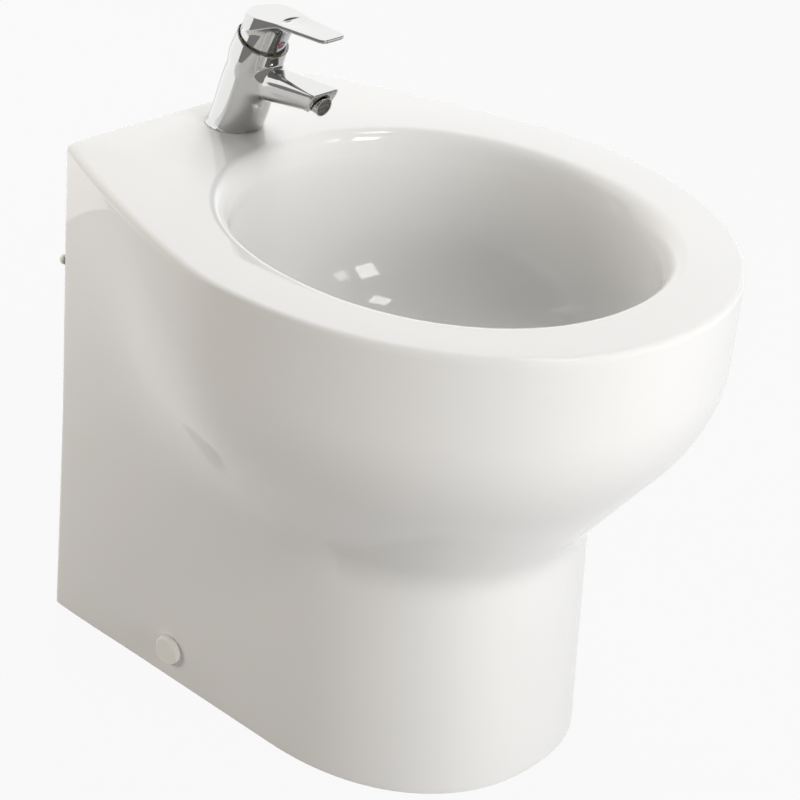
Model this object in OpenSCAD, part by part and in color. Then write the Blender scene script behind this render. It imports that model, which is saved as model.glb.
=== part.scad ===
/* [Ceramic shell] */
// Height of the deck and rim above the floor
body_h = 390; // [370:1:410]
// Width over the rim
body_w = 394; // [380:1:410]
// Depth from the wall face to the front of the rim
body_d = 465; // [450:1:490]
// Width over the deck where it meets the wall
deck_wall_w = 248; // [236:1:256]
// Distance from the wall to the widest place of the rim
rim_widest = 235.4; // [225:1:245]
// Width of the foot on the floor
foot_w = 252.6; // [244:1:264]
// Depth of the foot from the wall to its front
foot_d = 388.8; // [376:1:400]
// Distance from the wall to where the foot starts to curve in
foot_straight = 240; // [225:1:250]
// Height at which the flare starts at the front
flare_low = 174; // [165:1:185]
// Height at which the flare ends at the front
flare_high = 291; // [280:1:305]
// Height at which the flare starts beside the wall
flare_wall = 75; // [60:1:90]
// Distance from the wall over which the flare changes
flare_turn = 308; // [295:1:320]
// How much higher the flare ends beside the wall
flare_spread = 208; // [190:1:225]
// Radius of the rim's outer edge
rim_r = 5; // [3:0.5:7]
// Thickness of the outer shell
shell_t = 11; // [9:0.5:13]
// Thickness of the deck
deck_t = 12; // [10:0.5:14]

/* [Bowl] */
// Width of the bowl's opening at the deck
open_w = 302; // [290:1:310]
// Width of the flat rim in front of the opening
rim_front_w = 44.6; // [40:0.2:48]
// Back half-length of the opening
open_back = 167.6; // [160:1:170]
// Distance from the wall to the opening's widest place
open_widest = 256.2; // [250:1:262]
// Width of the sloping shoulder inside the opening
shoulder_w = 12.3; // [10:0.1:15]
// Depth of the shoulder below the deck
shoulder_d = 18; // [14:0.5:21]
// Depth of the bowl's floor below the deck
bowl_d = 134; // [125:1:140]
// Thickness of the bowl's wall
bowl_t = 11; // [9:0.5:12]
// Distance from the wall to the drain
drain_back = 236; // [228:1:244]
// Diameter of the drain hole
drain_d = 46; // [45:0.5:48]
// Distance of the overflow hole below the deck
overflow_drop = 44; // [40:1:50]
// Diameter of the overflow hole
overflow_d = 18; // [14:1:20]

/* [Tap] */
// Distance from the wall to the tap's centre
tap_back = 44; // [42:1:50]
// Diameter of the tap's base
tap_base_d = 43; // [41:0.5:46]
// Diameter of the tap hole in the deck
tap_hole_d = 35; // [34:0.5:36]
// Lean of the tap's head from the vertical, in degrees
head_lean = 25; // [23:0.5:27]
// Distance from the tap's centre forward to the head's lower ring
head_reach = 23.5; // [22:0.5:25]
// Height of the head's lower ring above the deck
head_up = 73; // [72:0.5:78]
// Diameter of the lever's skirt
skirt_d = 35; // [34.6:0.1:36]
// Wall thickness of the lever's skirt
skirt_t = 1.5; // [1.2:0.1:1.6]
// Diameter of the body's collar round the skirt
collar_d = 38.4; // [38:0.2:40]
// Height of the lever's flat top above the deck
lever_top_up = 97.5; // [97:0.5:100]
// Thickness of the lever's blade
blade_t = 4; // [3:0.5:5]
// Distance from the tap's centre to the blade's tip
blade_reach = 94; // [88:1:100]
// Width of the blade's tip
blade_tip_w = 20; // [16:1:24]
// Distance from the tap's centre to the spout's tip
spout_reach = 88; // [86:0.5:89]
// Height of the spout's tip above the deck
spout_up = 52; // [51.5:0.5:54]
// Width of the spout's tip
spout_w = 25; // [23:0.5:28]

/* [Nozzle] */
// Diameter of the nozzle's ball
ball_d = 13; // [12.4:0.1:13.4]
// Diameter of the nozzle's cup
cup_d = 14.8; // [14:0.1:15.2]
// Distance from the tap's centre to the ball
ball_reach = 78.5; // [78:0.5:80]
// Height of the ball above the deck
ball_up = 43.5; // [43:0.5:44]
// Dip of the nozzle below the level, in degrees
nozzle_dip = 12; // [8:1:16]

/* [Waste and trap] */
// Diameter of the waste's threaded tail
tail_d = 41.8; // [40:0.2:42]
// Diameter of the waste's flange
flange_d = 63; // [60:1:65]
// Height of the pipe to the wall above the floor
outlet_up = 140; // [125:1:143]
// Diameter of the pipe to the wall
outlet_d = 32; // [30:0.5:33]
// Diameter of the trap's bottle
bottle_d = 58; // [54:1:64]

/* [Fixing] */
// Distance from the wall to the side screws
screw_back = 133.7; // [120:1:140]
// Height of the side screws above the floor
screw_up = 25.3; // [24:0.1:28]
// Diameter of the cover caps
cap_d = 23; // [20:0.5:25]
// Distance between a bracket's two floor holes
floor_hole_gap = 50; // [44:1:60]
// Diameter of a bracket's floor holes
floor_hole_d = 7; // [6:0.5:8]
// Diameter of the wall pads
pad_d = 8.5; // [7:0.5:10]
// Thickness of the wall pads
pad_t = 3; // [2:0.5:4]
// Height of the wall pads above the floor
pad_up = 296.5; // [280:0.5:310]

/* [Hidden] */

china = [0.95, 0.95, 0.94];
chrome = [0.78, 0.79, 0.8];
brass = [0.76, 0.62, 0.3];
steel = [0.66, 0.67, 0.68];
rubber = [0.12, 0.12, 0.12];
white_plastic = [0.93, 0.93, 0.91];
grey_plastic = [0.55, 0.56, 0.58];

// Running clearance on the radius of parts that turn or slide in each other
run = 0.08;
// Gap left between parts that are clamped or screwed together round a curve
fit = 0.1;
// Overlap that makes a cut pass cleanly through a face
eps = 1;

// The origin is the centre of the whole outline on the floor, pads included
y_wall = (body_d + pad_t) / 2 - pad_t;
tap_y = y_wall - tap_back;
drain_y = y_wall - drain_back;
screw_y = y_wall - screw_back;

// Points round each ring: the front half, each side behind it and the wall side
n_front = 32;
n_side = 8;
n_wall = 8;
n_ring = n_front + 1 + 2 * n_side + n_wall - 1;
// Part of the half turn that a bowl ring spends beside each outer side
side_turn = 62;

// The foot's front leans back by this share of its height, and its sides by less
foot_draft = 0.064;
side_draft = 0.3 * foot_draft;

// A power that keeps its sign, for superellipses
function se(v, n) = sign(v) * pow(abs(v), 2 / n);

rim_front_bend = 2.08;
foot_front_bend = 2.22;
bowl_bend = 2.1;
// Half-width of the rim behind its widest place: a hyperbola that turns in softly, and a small
// cubic that turns it in again before the wall, where the rim has a set width
side_turn_in = 0.17;
side_hook = 0.17;
function turn_in(f) = sqrt(f * f + side_turn_in * side_turn_in) - side_turn_in;
function rim_half(a, end, f) =
    a - (a - end) * ((1 - side_hook) * turn_in(f) / turn_in(1) + side_hook * pow(f, 3));

// Place of station i behind the widest place: 0 there, 1 at the wall corner
function side_part(i) = i <= n_front ? 0
    : i <= n_front + n_side ? (i - n_front) / n_side
    : i < n_front + n_side + n_wall ? 1
    : (n_ring - i) / n_side;
// Place of station i across the wall side: 1 at the right corner, -1 at the left one
function wall_part(i) = 1 - 2 * (i - n_front - n_side) / n_wall;
// Which side of the body station i is on
function side_sign(i) = i <= n_front + n_side ? 1 : -1;

// Outer outline of the rim or of the foot, drawn in by g
function rim_point(i, g) =
    let(a = body_w / 2 - g, yc = y_wall - rim_widest, b = body_d - rim_widest - g,
        end = deck_wall_w / 2 - g, f = side_part(i), t = 180 * i / n_front)
    i <= n_front ? [-a * se(cos(t), rim_front_bend), yc - b * se(sin(t), rim_front_bend)]
    : f < 1 ? [side_sign(i) * rim_half(a, end, f), yc + f * (rim_widest - g)]
    : [wall_part(i) * end, y_wall - g];
function foot_point(i, g, z) =
    let(lean_z = min(z, flare_low), a = foot_w / 2 - g - side_draft * lean_z,
        yc = y_wall - foot_straight, b = foot_d - foot_straight - g - foot_draft * lean_z,
        f = side_part(i), t = 180 * i / n_front)
    i <= n_front ? [-a * se(cos(t), foot_front_bend), yc - b * se(sin(t), foot_front_bend)]
    : f < 1 ? [side_sign(i) * a, yc + f * (foot_straight - g)]
    : [wall_part(i) * a, y_wall - g];

// A ramp from 0 to 1 with rounded ends, softer at its low end towards the wall
ramp_low = 0.12;
ramp_more = 0.45;
ramp_high = 0.3;
function corner(u, r) = u < -r ? 0 : u > r ? u : pow(u + r, 2) / (4 * r);
function ramp(u, soft) = corner(u, soft) - corner(u - 1, ramp_high);

// Share of the rim outline in the section at height z: towards the wall the flare starts lower,
// ends higher and turns more softly
flare_place_bend = [1.4, 3.3, 0.5];
function flare_place(i) = max(0, min(1, 1 - (y_wall - rim_point(i, 0)[1]) / flare_turn));
function flare_share(i, z) =
    let(s = flare_place(i), b = flare_place_bend,
        low = flare_low - (flare_low - flare_wall) * pow(s, b[0]),
        high = flare_high + flare_spread * pow(s, b[1]),
        soft = ramp_low + ramp_more * pow(s, b[2]))
    ramp((z - low) / (high - low), soft) / ramp((body_h - low) / (high - low), soft);
function body_ring(z, g) = [for (i = [0 : n_ring - 1])
    let(w = min(1, flare_share(i, z)), p = foot_point(i, g, z) * (1 - w) + rim_point(i, g) * w)
    [p[0], p[1], z]];
// The rim's rounded edge, at angle a from its side to its top
function rim_edge_ring(a) = [for (i = [0 : n_ring - 1])
    let(p = rim_point(i, rim_r * (1 - cos(a)))) [p[0], p[1], body_h - rim_r + rim_r * sin(a)]];

// An oval inside the opening, drawn in by g, at station i
open_y = y_wall - open_widest;
open_front = body_d - open_widest - rim_front_w;
function bowl_angle(i) = i <= n_front ? 180 * i / n_front
    : i <= n_front + n_side ? 180 + side_turn * side_part(i)
    : i < n_front + n_side + n_wall ? 270 - (90 - side_turn) * wall_part(i)
    : 360 - side_turn * side_part(i);
function oval_point(i, g) =
    let(t = bowl_angle(i), b = t <= 180 ? open_front : open_back)
    [-(open_w / 2 - g) * se(cos(t), bowl_bend), open_y - (b - g) * se(sin(t), bowl_bend)];
// The shoulder falls gently from the crease at the deck, then rolls over to the wall
function shoulder_ring(u) = [for (i = [0 : n_ring - 1])
    let(p = oval_point(i, shoulder_w * u))
    [p[0], p[1], body_h - shoulder_d * (0.35 * u + 0.65 * pow(u, 3))]];
// A ring of the bowl's wall, grown by g, from the shoulder (a = 0) to the drain (a = 90)
drain_flat = 34;
wall_curve = 2.4;
function bowl_point(i, a, g) =
    let(t = bowl_angle(i), k = pow(cos(a), 2 / wall_curve),
        p = oval_point(i, shoulder_w - g),
        q = [-drain_flat * cos(t), drain_y - drain_flat * sin(t)],
        m = p * k + q * (1 - k))
    [m[0], m[1], body_h - shoulder_d - (bowl_d - shoulder_d + g) * pow(sin(a), 2 / wall_curve)];
function bowl_ring(a, g) = [for (i = [0 : n_ring - 1]) bowl_point(i, a, g)];
// A ring on the bowl's outside or under the deck, grown by g
function under_ring(g, z) = [for (i = [0 : n_ring - 1])
    let(p = oval_point(i, shoulder_w - g)) [p[0], p[1], z]];

// The casting is drawn as three solids that meet at flat joints. The body meets the deck at the
// deck's underside, and the bowl meets the deck below its thick edge, where the shoulder ends.
rim_low = body_h - rim_r;
deck_low = body_h - deck_t;
shoulder_z = body_h - shoulder_d;
edge_low = 4;
under_edge = shoulder_d - deck_t + edge_low;

// Rings of the body, close together over the flare, down to just below the floor and up inside
n_flare = 18;
n_inner = 9;
floor_cut = 2;
function heights(n) = [for (k = [0 : n]) deck_low - (deck_low - flare_wall) * k / n];
function body_rings() = concat(
    [for (z = concat(heights(n_flare), [flare_wall / 2, -floor_cut])) body_ring(z, 0)],
    [for (z = concat([-floor_cut], reversed(heights(n_inner)))) body_ring(z, shell_t)]);
// Rings of the deck: up the shoulder, over to the rim, down its edge and back underneath
function deck_rings() = concat(
    [for (k = [4 : -1 : 0]) shoulder_ring(k / 4)],
    [for (k = [3 : -1 : 1]) rim_edge_ring(30 * k)],
    [body_ring(rim_low, 0), body_ring(deck_low, 0)],
    [under_ring(bowl_t + under_edge, deck_low), under_ring(bowl_t + edge_low, shoulder_z)]);
// Rings of the bowl: up its inside, across the joint and down its outside
n_bowl = 8;
function bowl_rings() = concat(
    [for (k = [n_bowl - 1 : -1 : 0]) bowl_ring(90 * k / n_bowl, 0)],
    [under_ring(bowl_t + edge_low, shoulder_z), under_ring(bowl_t, shoulder_z - edge_low)],
    [for (k = [1 : n_bowl - 1]) bowl_ring(90 * k / n_bowl, bowl_t)]);

// A closed skin through a list of rings that closes on itself
module ring_loop(rings) {
    n = len(rings[0]);
    m = len(rings);
    polyhedron([for (r = rings) each r],
        [for (k = [0 : m - 1], i = [0 : n - 1]) let(a = k * n, b = (k + 1) % m * n, j = (i + 1) % n)
            each [[a + i, a + j, b + i], [a + j, b + j, b + i]]],
        convexity = 8);
}
// A closed skin through a list of rings, with a point at each end
module ring_skin(rings, first, last) {
    n = len(rings[0]);
    m = len(rings);
    points = concat([first], [for (r = rings) each r], [last]);
    faces = concat(
        [for (i = [0 : n - 1]) [0, 1 + (i + 1) % n, 1 + i]],
        [for (k = [0 : m - 2], i = [0 : n - 1]) let(a = 1 + k * n, j = (i + 1) % n)
            each [[a + i, a + j, a + n + i], [a + j, a + n + j, a + n + i]]],
        [for (i = [0 : n - 1]) let(a = 1 + (m - 1) * n) [a + i, a + (i + 1) % n, 1 + m * n]]);
    polyhedron(points, faces, convexity = 8);
}

// A round bar from p to q
module bar(p, q, r) {
    d = q - p;
    l = norm(d);
    translate(p)
        rotate([0, acos(d[2] / l), atan2(d[1], d[0])])
            cylinder(r = r, h = l, $fn = 48);
}
// A plain cylinder from one height to another
module round_from(r, low, high) {
    translate([0, 0, low])
        cylinder(r = r, h = high - low, $fn = 96);
}
// A ring or washer standing on z
module ring(r_out, r_in, h, z = 0) {
    translate([0, 0, z])
        difference() {
            cylinder(r = r_out, h = h, $fn = 96);
            translate([0, 0, -eps])
                cylinder(r = r_in, h = h + 2 * eps, $fn = 96);
        }
}
// A six-sided nut with a round hole, standing on z
module hex_nut(across, r_in, h, z = 0) {
    translate([0, 0, z])
        difference() {
            cylinder(r = across / sqrt(3), h = h, $fn = 6);
            translate([0, 0, -eps])
                cylinder(r = r_in, h = h + 2 * eps, $fn = 96);
        }
}

// Ceramic body: a hollow shell, open below and behind
drain_z = body_h - bowl_d;
back_open_side = 25;
back_open_top = 52;
back_open_w = deck_wall_w - 2 * back_open_side;
back_open_h = body_h - back_open_top;
back_open_r = 40;
bush_r = 6.5;
module ceramic_body() color(china) {
    difference() {
        ring_loop(body_rings());
        translate([-body_w, y_wall - 2 * body_d, -body_h])
            cube([2 * body_w, 3 * body_d, body_h]);
        // Opening for the pipes in the back
        translate([0, y_wall + eps, 0])
            rotate([90, 0, 0])
                linear_extrude(shell_t + 2 * eps)
                    union() {
                        translate([-back_open_w / 2, -eps])
                            square([back_open_w, back_open_h - back_open_r + eps]);
                        translate([-back_open_w / 2 + back_open_r, 0])
                            square([back_open_w - 2 * back_open_r, back_open_h]);
                        for (s = [-1, 1])
                            translate([s * (back_open_w / 2 - back_open_r), back_open_h - back_open_r])
                                circle(r = back_open_r, $fn = 64);
                    }
        for (s = [-1, 1])
            translate([s * foot_w / 2, screw_y, screw_up])
                rotate([0, 90, 0])
                    cylinder(r = bush_r, h = 4 * shell_t, center = true, $fn = 64);
    }
}
// Ceramic deck with the thick edge of the opening and the tap hole
module ceramic_deck() color(china) {
    difference() {
        ring_loop(deck_rings());
        translate([0, tap_y, deck_low - eps])
            cylinder(d = tap_hole_d, h = deck_t + 2 * eps, $fn = 96);
    }
}

// Ceramic bowl with the boss of the drain and the overflow's duct down its front
recess_d = 4;
recess_gap = 1.5;
recess_r = flange_d / 2 + recess_gap;
boss_r = 37;
boss_t = 24;
duct_w = 38;
duct_gap = 10;
duct_t = 7;
duct_in_w = duct_w - 2 * duct_t;
// The duct's walls start inside the bowl's wall, so they are one casting
duct_root = bowl_t - 4;
overflow_z = body_h - overflow_drop;
front_station = n_front / 2;
// The bowl's front seen from the side, grown by g
function duct_side(g) = [for (k = [1 : n_bowl]) let(p = bowl_point(front_station, 90 * k / n_bowl, g))
    [p[1], p[2]]];
function reversed(a) = [for (i = [len(a) - 1 : -1 : 0]) a[i]];
module side_slab(w, a, b, end) {
    last = n_bowl - 1;
    translate([-w / 2, 0, 0])
        rotate([90, 0, 90])
            linear_extrude(w)
                polygon(concat(duct_side(a), [[end, duct_side(a)[last][1]], [end, duct_side(b)[last][1]]],
                    reversed(duct_side(b))));
}
module ceramic_bowl() color(china) {
    difference() {
        union() {
            ring_skin(bowl_rings(), [0, drain_y, drain_z], [0, drain_y, drain_z - bowl_t]);
            translate([0, drain_y, drain_z - boss_t])
                cylinder(r = boss_r, h = boss_t - recess_d, $fn = 96);
            // Duct of the overflow down the bowl's front
            difference() {
                side_slab(duct_w, duct_root, bowl_t + duct_gap + duct_t, drain_y - drain_flat);
                side_slab(duct_in_w, duct_root - eps, bowl_t + duct_gap, drain_y);
            }
        }
        translate([0, drain_y, drain_z - recess_d])
            cylinder(r = recess_r, h = recess_d + eps, $fn = 96);
        translate([0, drain_y, drain_z - boss_t - eps])
            cylinder(d = drain_d, h = boss_t + 2 * eps, $fn = 96);
        // Overflow hole in the bowl and the duct's way into the drain
        translate([0, open_y - open_front + bowl_t, overflow_z])
            rotate([90, 0, 0])
                cylinder(d = overflow_d, h = 2 * bowl_t + 4, center = true, $fn = 64);
        side_slab(duct_in_w, bowl_t + eps, bowl_t + duct_gap, drain_y);
    }
}

// Fixing of the foot: brackets on the floor, screws through the sides
foot_face = foot_w / 2 - side_draft * screw_up;
foot_inner = foot_face - shell_t;
bracket_t = 3;
bracket_w = 30;
bracket_l = floor_hole_gap + 26;
bracket_h = screw_up + 12;
bracket_gap = 1.5;
screw_r = 3;
bush_flange_r = 8.5;
bush_flange_t = 1.2;
block_t = 10;
module floor_bracket(s) {
    color(steel)
        translate([0, screw_y, 0])
            difference() {
                union() {
                    translate([s > 0 ? foot_inner - bracket_gap - bracket_w : -foot_inner + bracket_gap,
                            -bracket_l / 2, 0])
                        cube([bracket_w, bracket_l, bracket_t]);
                    translate([s > 0 ? foot_inner - bracket_gap - bracket_t : -foot_inner + bracket_gap,
                            -bracket_w / 2, 0])
                        cube([bracket_t, bracket_w, bracket_h]);
                    translate([s * (foot_inner - bracket_gap - block_t / 2), 0, screw_up])
                        rotate([0, 90, 0])
                            cylinder(r = 7, h = block_t, center = true, $fn = 48);
                }
                for (e = [-1, 1])
                    translate([s * (foot_inner - bracket_gap - bracket_w / 2 - 4),
                            e * floor_hole_gap / 2, -eps])
                        cylinder(d = floor_hole_d, h = bracket_t + 2 * eps, $fn = 48);
                translate([s * (foot_inner - bracket_gap - block_t / 2), 0, screw_up])
                    rotate([0, 90, 0])
                        cylinder(r = screw_r + fit, h = block_t + 2 * eps, center = true, $fn = 48);
            }
}
module floor_bracket_left() floor_bracket(-1);
module floor_bracket_right() floor_bracket(1);

screw_head_r = 4.8;
screw_head_t = 1.9;
cap_t = 5;
cap_dome = 1.2;
cap_wall = 1.2;
cap_space = bush_flange_t + screw_head_t + 0.2;
// Gap under the cap's edge, because the side leans a little
side_gap = 0.25;
module on_sides() for (s = [-1, 1])
    translate([s * foot_face, screw_y, screw_up])
        rotate([0, s * 90, 0])
            children();
module side_screws() color(steel) on_sides()
    difference() {
        union() {
            translate([0, 0, side_gap + bush_flange_t])
                cylinder(r = screw_head_r, h = screw_head_t, $fn = 48);
            translate([0, 0, -shell_t - bracket_gap - block_t])
                cylinder(r = screw_r, h = shell_t + bracket_gap + block_t + bush_flange_t + 1, $fn = 48);
        }
        translate([0, 0, bush_flange_t + 0.6])
            cylinder(r = 1.6, h = 4, $fn = 6);
    }
module screw_bushes() color(grey_plastic) on_sides()
    difference() {
        union() {
            translate([0, 0, -shell_t])
                cylinder(r = bush_r - fit, h = shell_t + side_gap + 0.5, $fn = 64);
            translate([0, 0, side_gap])
                cylinder(r = bush_flange_r, h = bush_flange_t, $fn = 64);
        }
        translate([0, 0, -shell_t - eps])
            cylinder(r = screw_r + fit, h = shell_t + 4, $fn = 48);
    }
module screw_caps() color(white_plastic) on_sides()
    translate([0, 0, side_gap])
        difference() {
            dome_r = (cap_d * cap_d / 4 + cap_dome * cap_dome) / (2 * cap_dome);
            intersection() {
                cylinder(d = cap_d, h = cap_t, $fn = 96);
                translate([0, 0, cap_t - dome_r])
                    sphere(r = dome_r, $fn = 128);
            }
            translate([0, 0, -eps])
                cylinder(r = cap_d / 2 - cap_wall, h = 1 + eps, $fn = 96);
            translate([0, 0, -eps])
                cylinder(r = bush_flange_r + fit, h = cap_space + eps, $fn = 96);
        }
pad_inset = 5.5;
module wall_pads() color(white_plastic)
    for (s = [-1, 1])
        translate([s * (foot_w / 2 - pad_inset), y_wall, pad_up])
            rotate([-90, 0, 0])
                cylinder(d = pad_d, h = pad_t, $fn = 48);

// Tap: places of its head and nozzle
pivot_rise = 3;
ring_y = tap_y - head_reach;
ring_z = body_h + head_up;
pivot_y = ring_y - pivot_rise * sin(head_lean);
pivot_z = ring_z + pivot_rise * cos(head_lean);
module at_head() {
    translate([0, pivot_y, pivot_z])
        rotate([head_lean, 0, 0])
            children();
}
// A point on the head's tilted axis frame: x, y across it, w along it from the pivot
function head_point(x, y, w) = [x, pivot_y + y * cos(head_lean) - w * sin(head_lean),
    pivot_z + y * sin(head_lean) + w * cos(head_lean)];
skirt_r = skirt_d / 2;
ball_seat = sqrt(skirt_r * skirt_r + pivot_rise * pivot_rise);
seat_gap = 0.4;

// Heights of the mechanism along the head's axis, from the pivot
nut_top = -10.9;
shoulder = -14.6;
roof = -15.6;
carrier_top = -16.9;
disc_top = -18.9;
fixed_top = -22.05;
base_top = -25.5;
base_low = -29.5;
housing_r = 12.5;
neck_r = 9.5;
yoke_r = 7.6;
cavity_r = 11.2;

// Cross-section of the tap's pillar: an oval tilted forward by the lean
n_tap = 32;
function tap_ring(y, z, rx, ry, lean) = [for (i = [0 : n_tap - 1])
    let(t = -360 * i / n_tap, u = ry * cos(t), x = rx * sin(t))
    [x, y + u * cos(lean), z + u * sin(lean)]];
// The pillar leans more and more from the base to the collar, and has a waist below its middle
pillar_bend = 0.7;
pillar_back = 3.2;
pillar_deep = 1.5;
waist_cut = 0.17;
waist_low = 0.55;
waist_short = 1.6;
function pillar_ring(u) =
    let(y = tap_y - head_reach * ((1 - pillar_bend) * u + pillar_bend * u * u) + pillar_back * u * (1 - u),
        z = body_h + head_up * u,
        waist = 1 - waist_cut * pow(sin(180 * pow(u, waist_low)), waist_short),
        r = (tap_base_d * (1 - u) + collar_d * u) / 2 * waist)
    tap_ring(y, z, r, r + pillar_deep * sin(180 * u), head_lean * u);
// A section of the spout: flat on top, rounded below, square to the spout's run
n_spout = 24;
function spout_ring(y, z, w, h) = [for (i = [0 : n_spout - 1])
    let(t = 360 * (n_spout - i) / n_spout, x = w / 2 * se(cos(t), t < 180 ? 5 : 2.6),
        v = sin(t) > 0 ? h * 0.35 * se(sin(t), 5) : h * 0.65 * se(sin(t), 2.3))
    [x, y, z - 0.35 * h + v]];
spout_tip_y = tap_y - spout_reach;
spout_tip_z = body_h + spout_up;
mouth_y = tap_y - ball_reach - 1;
ball_y = tap_y - ball_reach;
ball_z = body_h + ball_up;
// The spout runs from inside the pillar, wide and deep, to its mouth, and its top falls a little
spout_root_y = ring_y - 2;
spout_root_w = skirt_d - 2;
spout_root_h = 30;
spout_end_h = 17.5;
spout_end_z = spout_tip_z + 0.6;
spout_fall = 5.5;
n_run = 6;
function spout_rings() = [for (k = [0 : n_run]) let(u = k / n_run)
    spout_ring(spout_root_y * (1 - u) + mouth_y * u, spout_end_z + spout_fall * (1 - u),
        spout_root_w * (1 - u) + spout_w * u, spout_root_h * (1 - u) + spout_end_h * u)];
port_r = 5;
port_x = 7;
port_y = tap_y + 9;
port_l = 12;
stud_y = tap_y - 11;
stud_r = 4;
stud_depth = 12;
seal_groove = 1.2;
seal_out = tap_base_d / 2 - 1.4;
seal_in = seal_out - 3;
ring_out = 7.8;
ring_l = 4.6;
mouth_face = 1;
module at_ball() {
    translate([0, ball_y, ball_z])
        rotate([90 + nozzle_dip, 0, 0])
            children();
}
module tap_body() color(chrome) difference() {
    union() {
        ring_skin([for (k = [10 : -1 : 0]) pillar_ring(k / 10)],
            [0, ring_y, ring_z], [0, tap_y, body_h]);
        ring_skin(spout_rings(), [0, spout_root_y, spout_tip_z - 5], [0, mouth_y, spout_tip_z - 6]);
        // The thin beak over the nozzle
        hull() {
            for (s = [-1, 1]) {
                translate([s * (spout_w / 2 - 2), spout_tip_y + 2, spout_tip_z - 2])
                    cylinder(r = 2, h = 1.4, $fn = 24);
                translate([s * (spout_w / 2 - 1.6), mouth_y + 2, spout_tip_z - 2.6])
                    cylinder(r = 1.4, h = 2.6, $fn = 24);
            }
        }
    }
    // Seat of the lever's skirt
    translate([0, pivot_y, pivot_z])
        sphere(r = ball_seat + seat_gap, $fn = 96);
    at_head() {
        translate([0, 0, base_low])
            cylinder(r = housing_r + fit, h = -base_low, $fn = 96);
        translate([0, 0, shoulder - 0.4])
            cylinder(r = housing_r + 1.5 + fit, h = -shoulder, $fn = 96);
    }
    // Waterways from the inlets to the cartridge and from there to the nozzle
    for (s = [-1, 1]) {
        bar([s * port_x, port_y, body_h - eps], [s * port_x, port_y, body_h + port_l], port_r);
        bar([s * port_x, port_y, body_h], head_point(s * 5, 2, base_low + eps), 2.6);
    }
    bar(head_point(0, -6, base_low + 2), [0, ball_y + 6, ball_z + 1], 3.2);
    bar([0, stud_y, body_h - eps], [0, stud_y, body_h + stud_depth + fit], stud_r + fit);
    translate([0, tap_y, body_h - eps])
        difference() {
            cylinder(r = seal_out + fit, h = seal_groove + eps, $fn = 96);
            cylinder(r = seal_in - fit, h = seal_groove + eps, $fn = 96);
        }
    // Socket of the nozzle
    translate([0, ball_y, ball_z])
        sphere(r = ball_d / 2 + 0.6, $fn = 64);
    at_ball()
        translate([0, 0, 2 - ring_l])
            cylinder(r = ring_out + fit, h = ring_l + 8, $fn = 96);
    // Room below the beak for the cup to dip
    intersection() {
        at_ball()
            translate([0, 0, mouth_face])
                cylinder(r = 11, h = 8, $fn = 64);
        translate([-20, ball_y - 20, ball_z - 16])
            cube([40, 40, 20]);
    }
}
module tap_base_seal() color(rubber)
    translate([0, tap_y, 0])
        ring(seal_out, seal_in, seal_groove, body_h);

// Fixing of the tap under the deck
pad_l = 3;
plate_l = 2.5;
nut_l = 6.5;
plate_r = tap_hole_d / 2 + 6.5;
gate_r = 13.5;
module horseshoe(r, h, z) {
    difference() {
        translate([0, tap_y, z])
            cylinder(r = r, h = h, $fn = 96);
        translate([0, port_y + 1, z - eps])
            cylinder(r = gate_r, h = h + 2 * eps, $fn = 64);
        translate([-gate_r, port_y + 1, z - eps])
            cube([2 * gate_r, r, h + 2 * eps]);
        translate([0, stud_y, z - eps])
            cylinder(r = stud_r + fit, h = h + 2 * eps, $fn = 48);
    }
}
module fixing_stud() color(brass)
    translate([0, stud_y, deck_low - pad_l - plate_l - nut_l - 14])
        cylinder(r = stud_r, h = deck_t + pad_l + plate_l + nut_l + 14 + stud_depth, $fn = 48);
module fixing_pad() color(rubber) horseshoe(plate_r, pad_l, deck_low - pad_l);
module fixing_plate() color(steel) horseshoe(plate_r - 1, plate_l, deck_low - pad_l - plate_l);
module fixing_nut() color(brass)
    translate([0, stud_y, 0])
        hex_nut(13, stud_r + fit, nut_l, deck_low - pad_l - plate_l - nut_l);

// Cartridge, from its base up to the lever
base_hole = 2.2;
module cartridge_housing() color(white_plastic) at_head() difference() {
    union() {
        translate([0, 0, base_low])
            cylinder(r = housing_r, h = shoulder - base_low, $fn = 96);
        round_from(neck_r, shoulder, 2);
    }
    round_from(cavity_r, base_top, roof);
    round_from(yoke_r + run, roof - 0.1, 3);
    for (s = [-1, 1])
        translate([s * 5, 2, base_low - eps])
            cylinder(r = base_hole, h = 8, $fn = 32);
    translate([0, -6, base_low - eps])
        cylinder(r = 2.8, h = 8, $fn = 32);
}
disc_r = 7.2;
arm = 16.5;
half_lift = 12.5;
slide_half = arm * sin(half_lift);
module fixed_disc() color([0.9, 0.88, 0.84]) at_head() difference() {
    round_from(cavity_r - fit, base_top, fixed_top - 0.05);
    for (s = [-1, 1])
        translate([s * 5, 2, base_top - eps])
            cylinder(r = base_hole, h = 8, $fn = 32);
    translate([0, -6, base_top - eps])
        cylinder(r = 2.8, h = 8, $fn = 32);
}
module moving_disc() color([0.86, 0.84, 0.8]) at_head()
    translate([0, slide_half, 0])
        difference() {
            round_from(disc_r, fixed_top, disc_top);
            translate([0, 0, fixed_top - eps])
                cylinder(r = 4.2, h = eps + 1.4, $fn = 48);
        }
ball_end_r = 2.2;
module disc_carrier() color(grey_plastic) at_head()
    translate([0, slide_half, 0])
        difference() {
            round_from(disc_r, disc_top, carrier_top);
            round_from(ball_end_r + 0.3, disc_top - eps, carrier_top + eps);
        }
pin_r = 1.25;
stem_w = 7;
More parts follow.
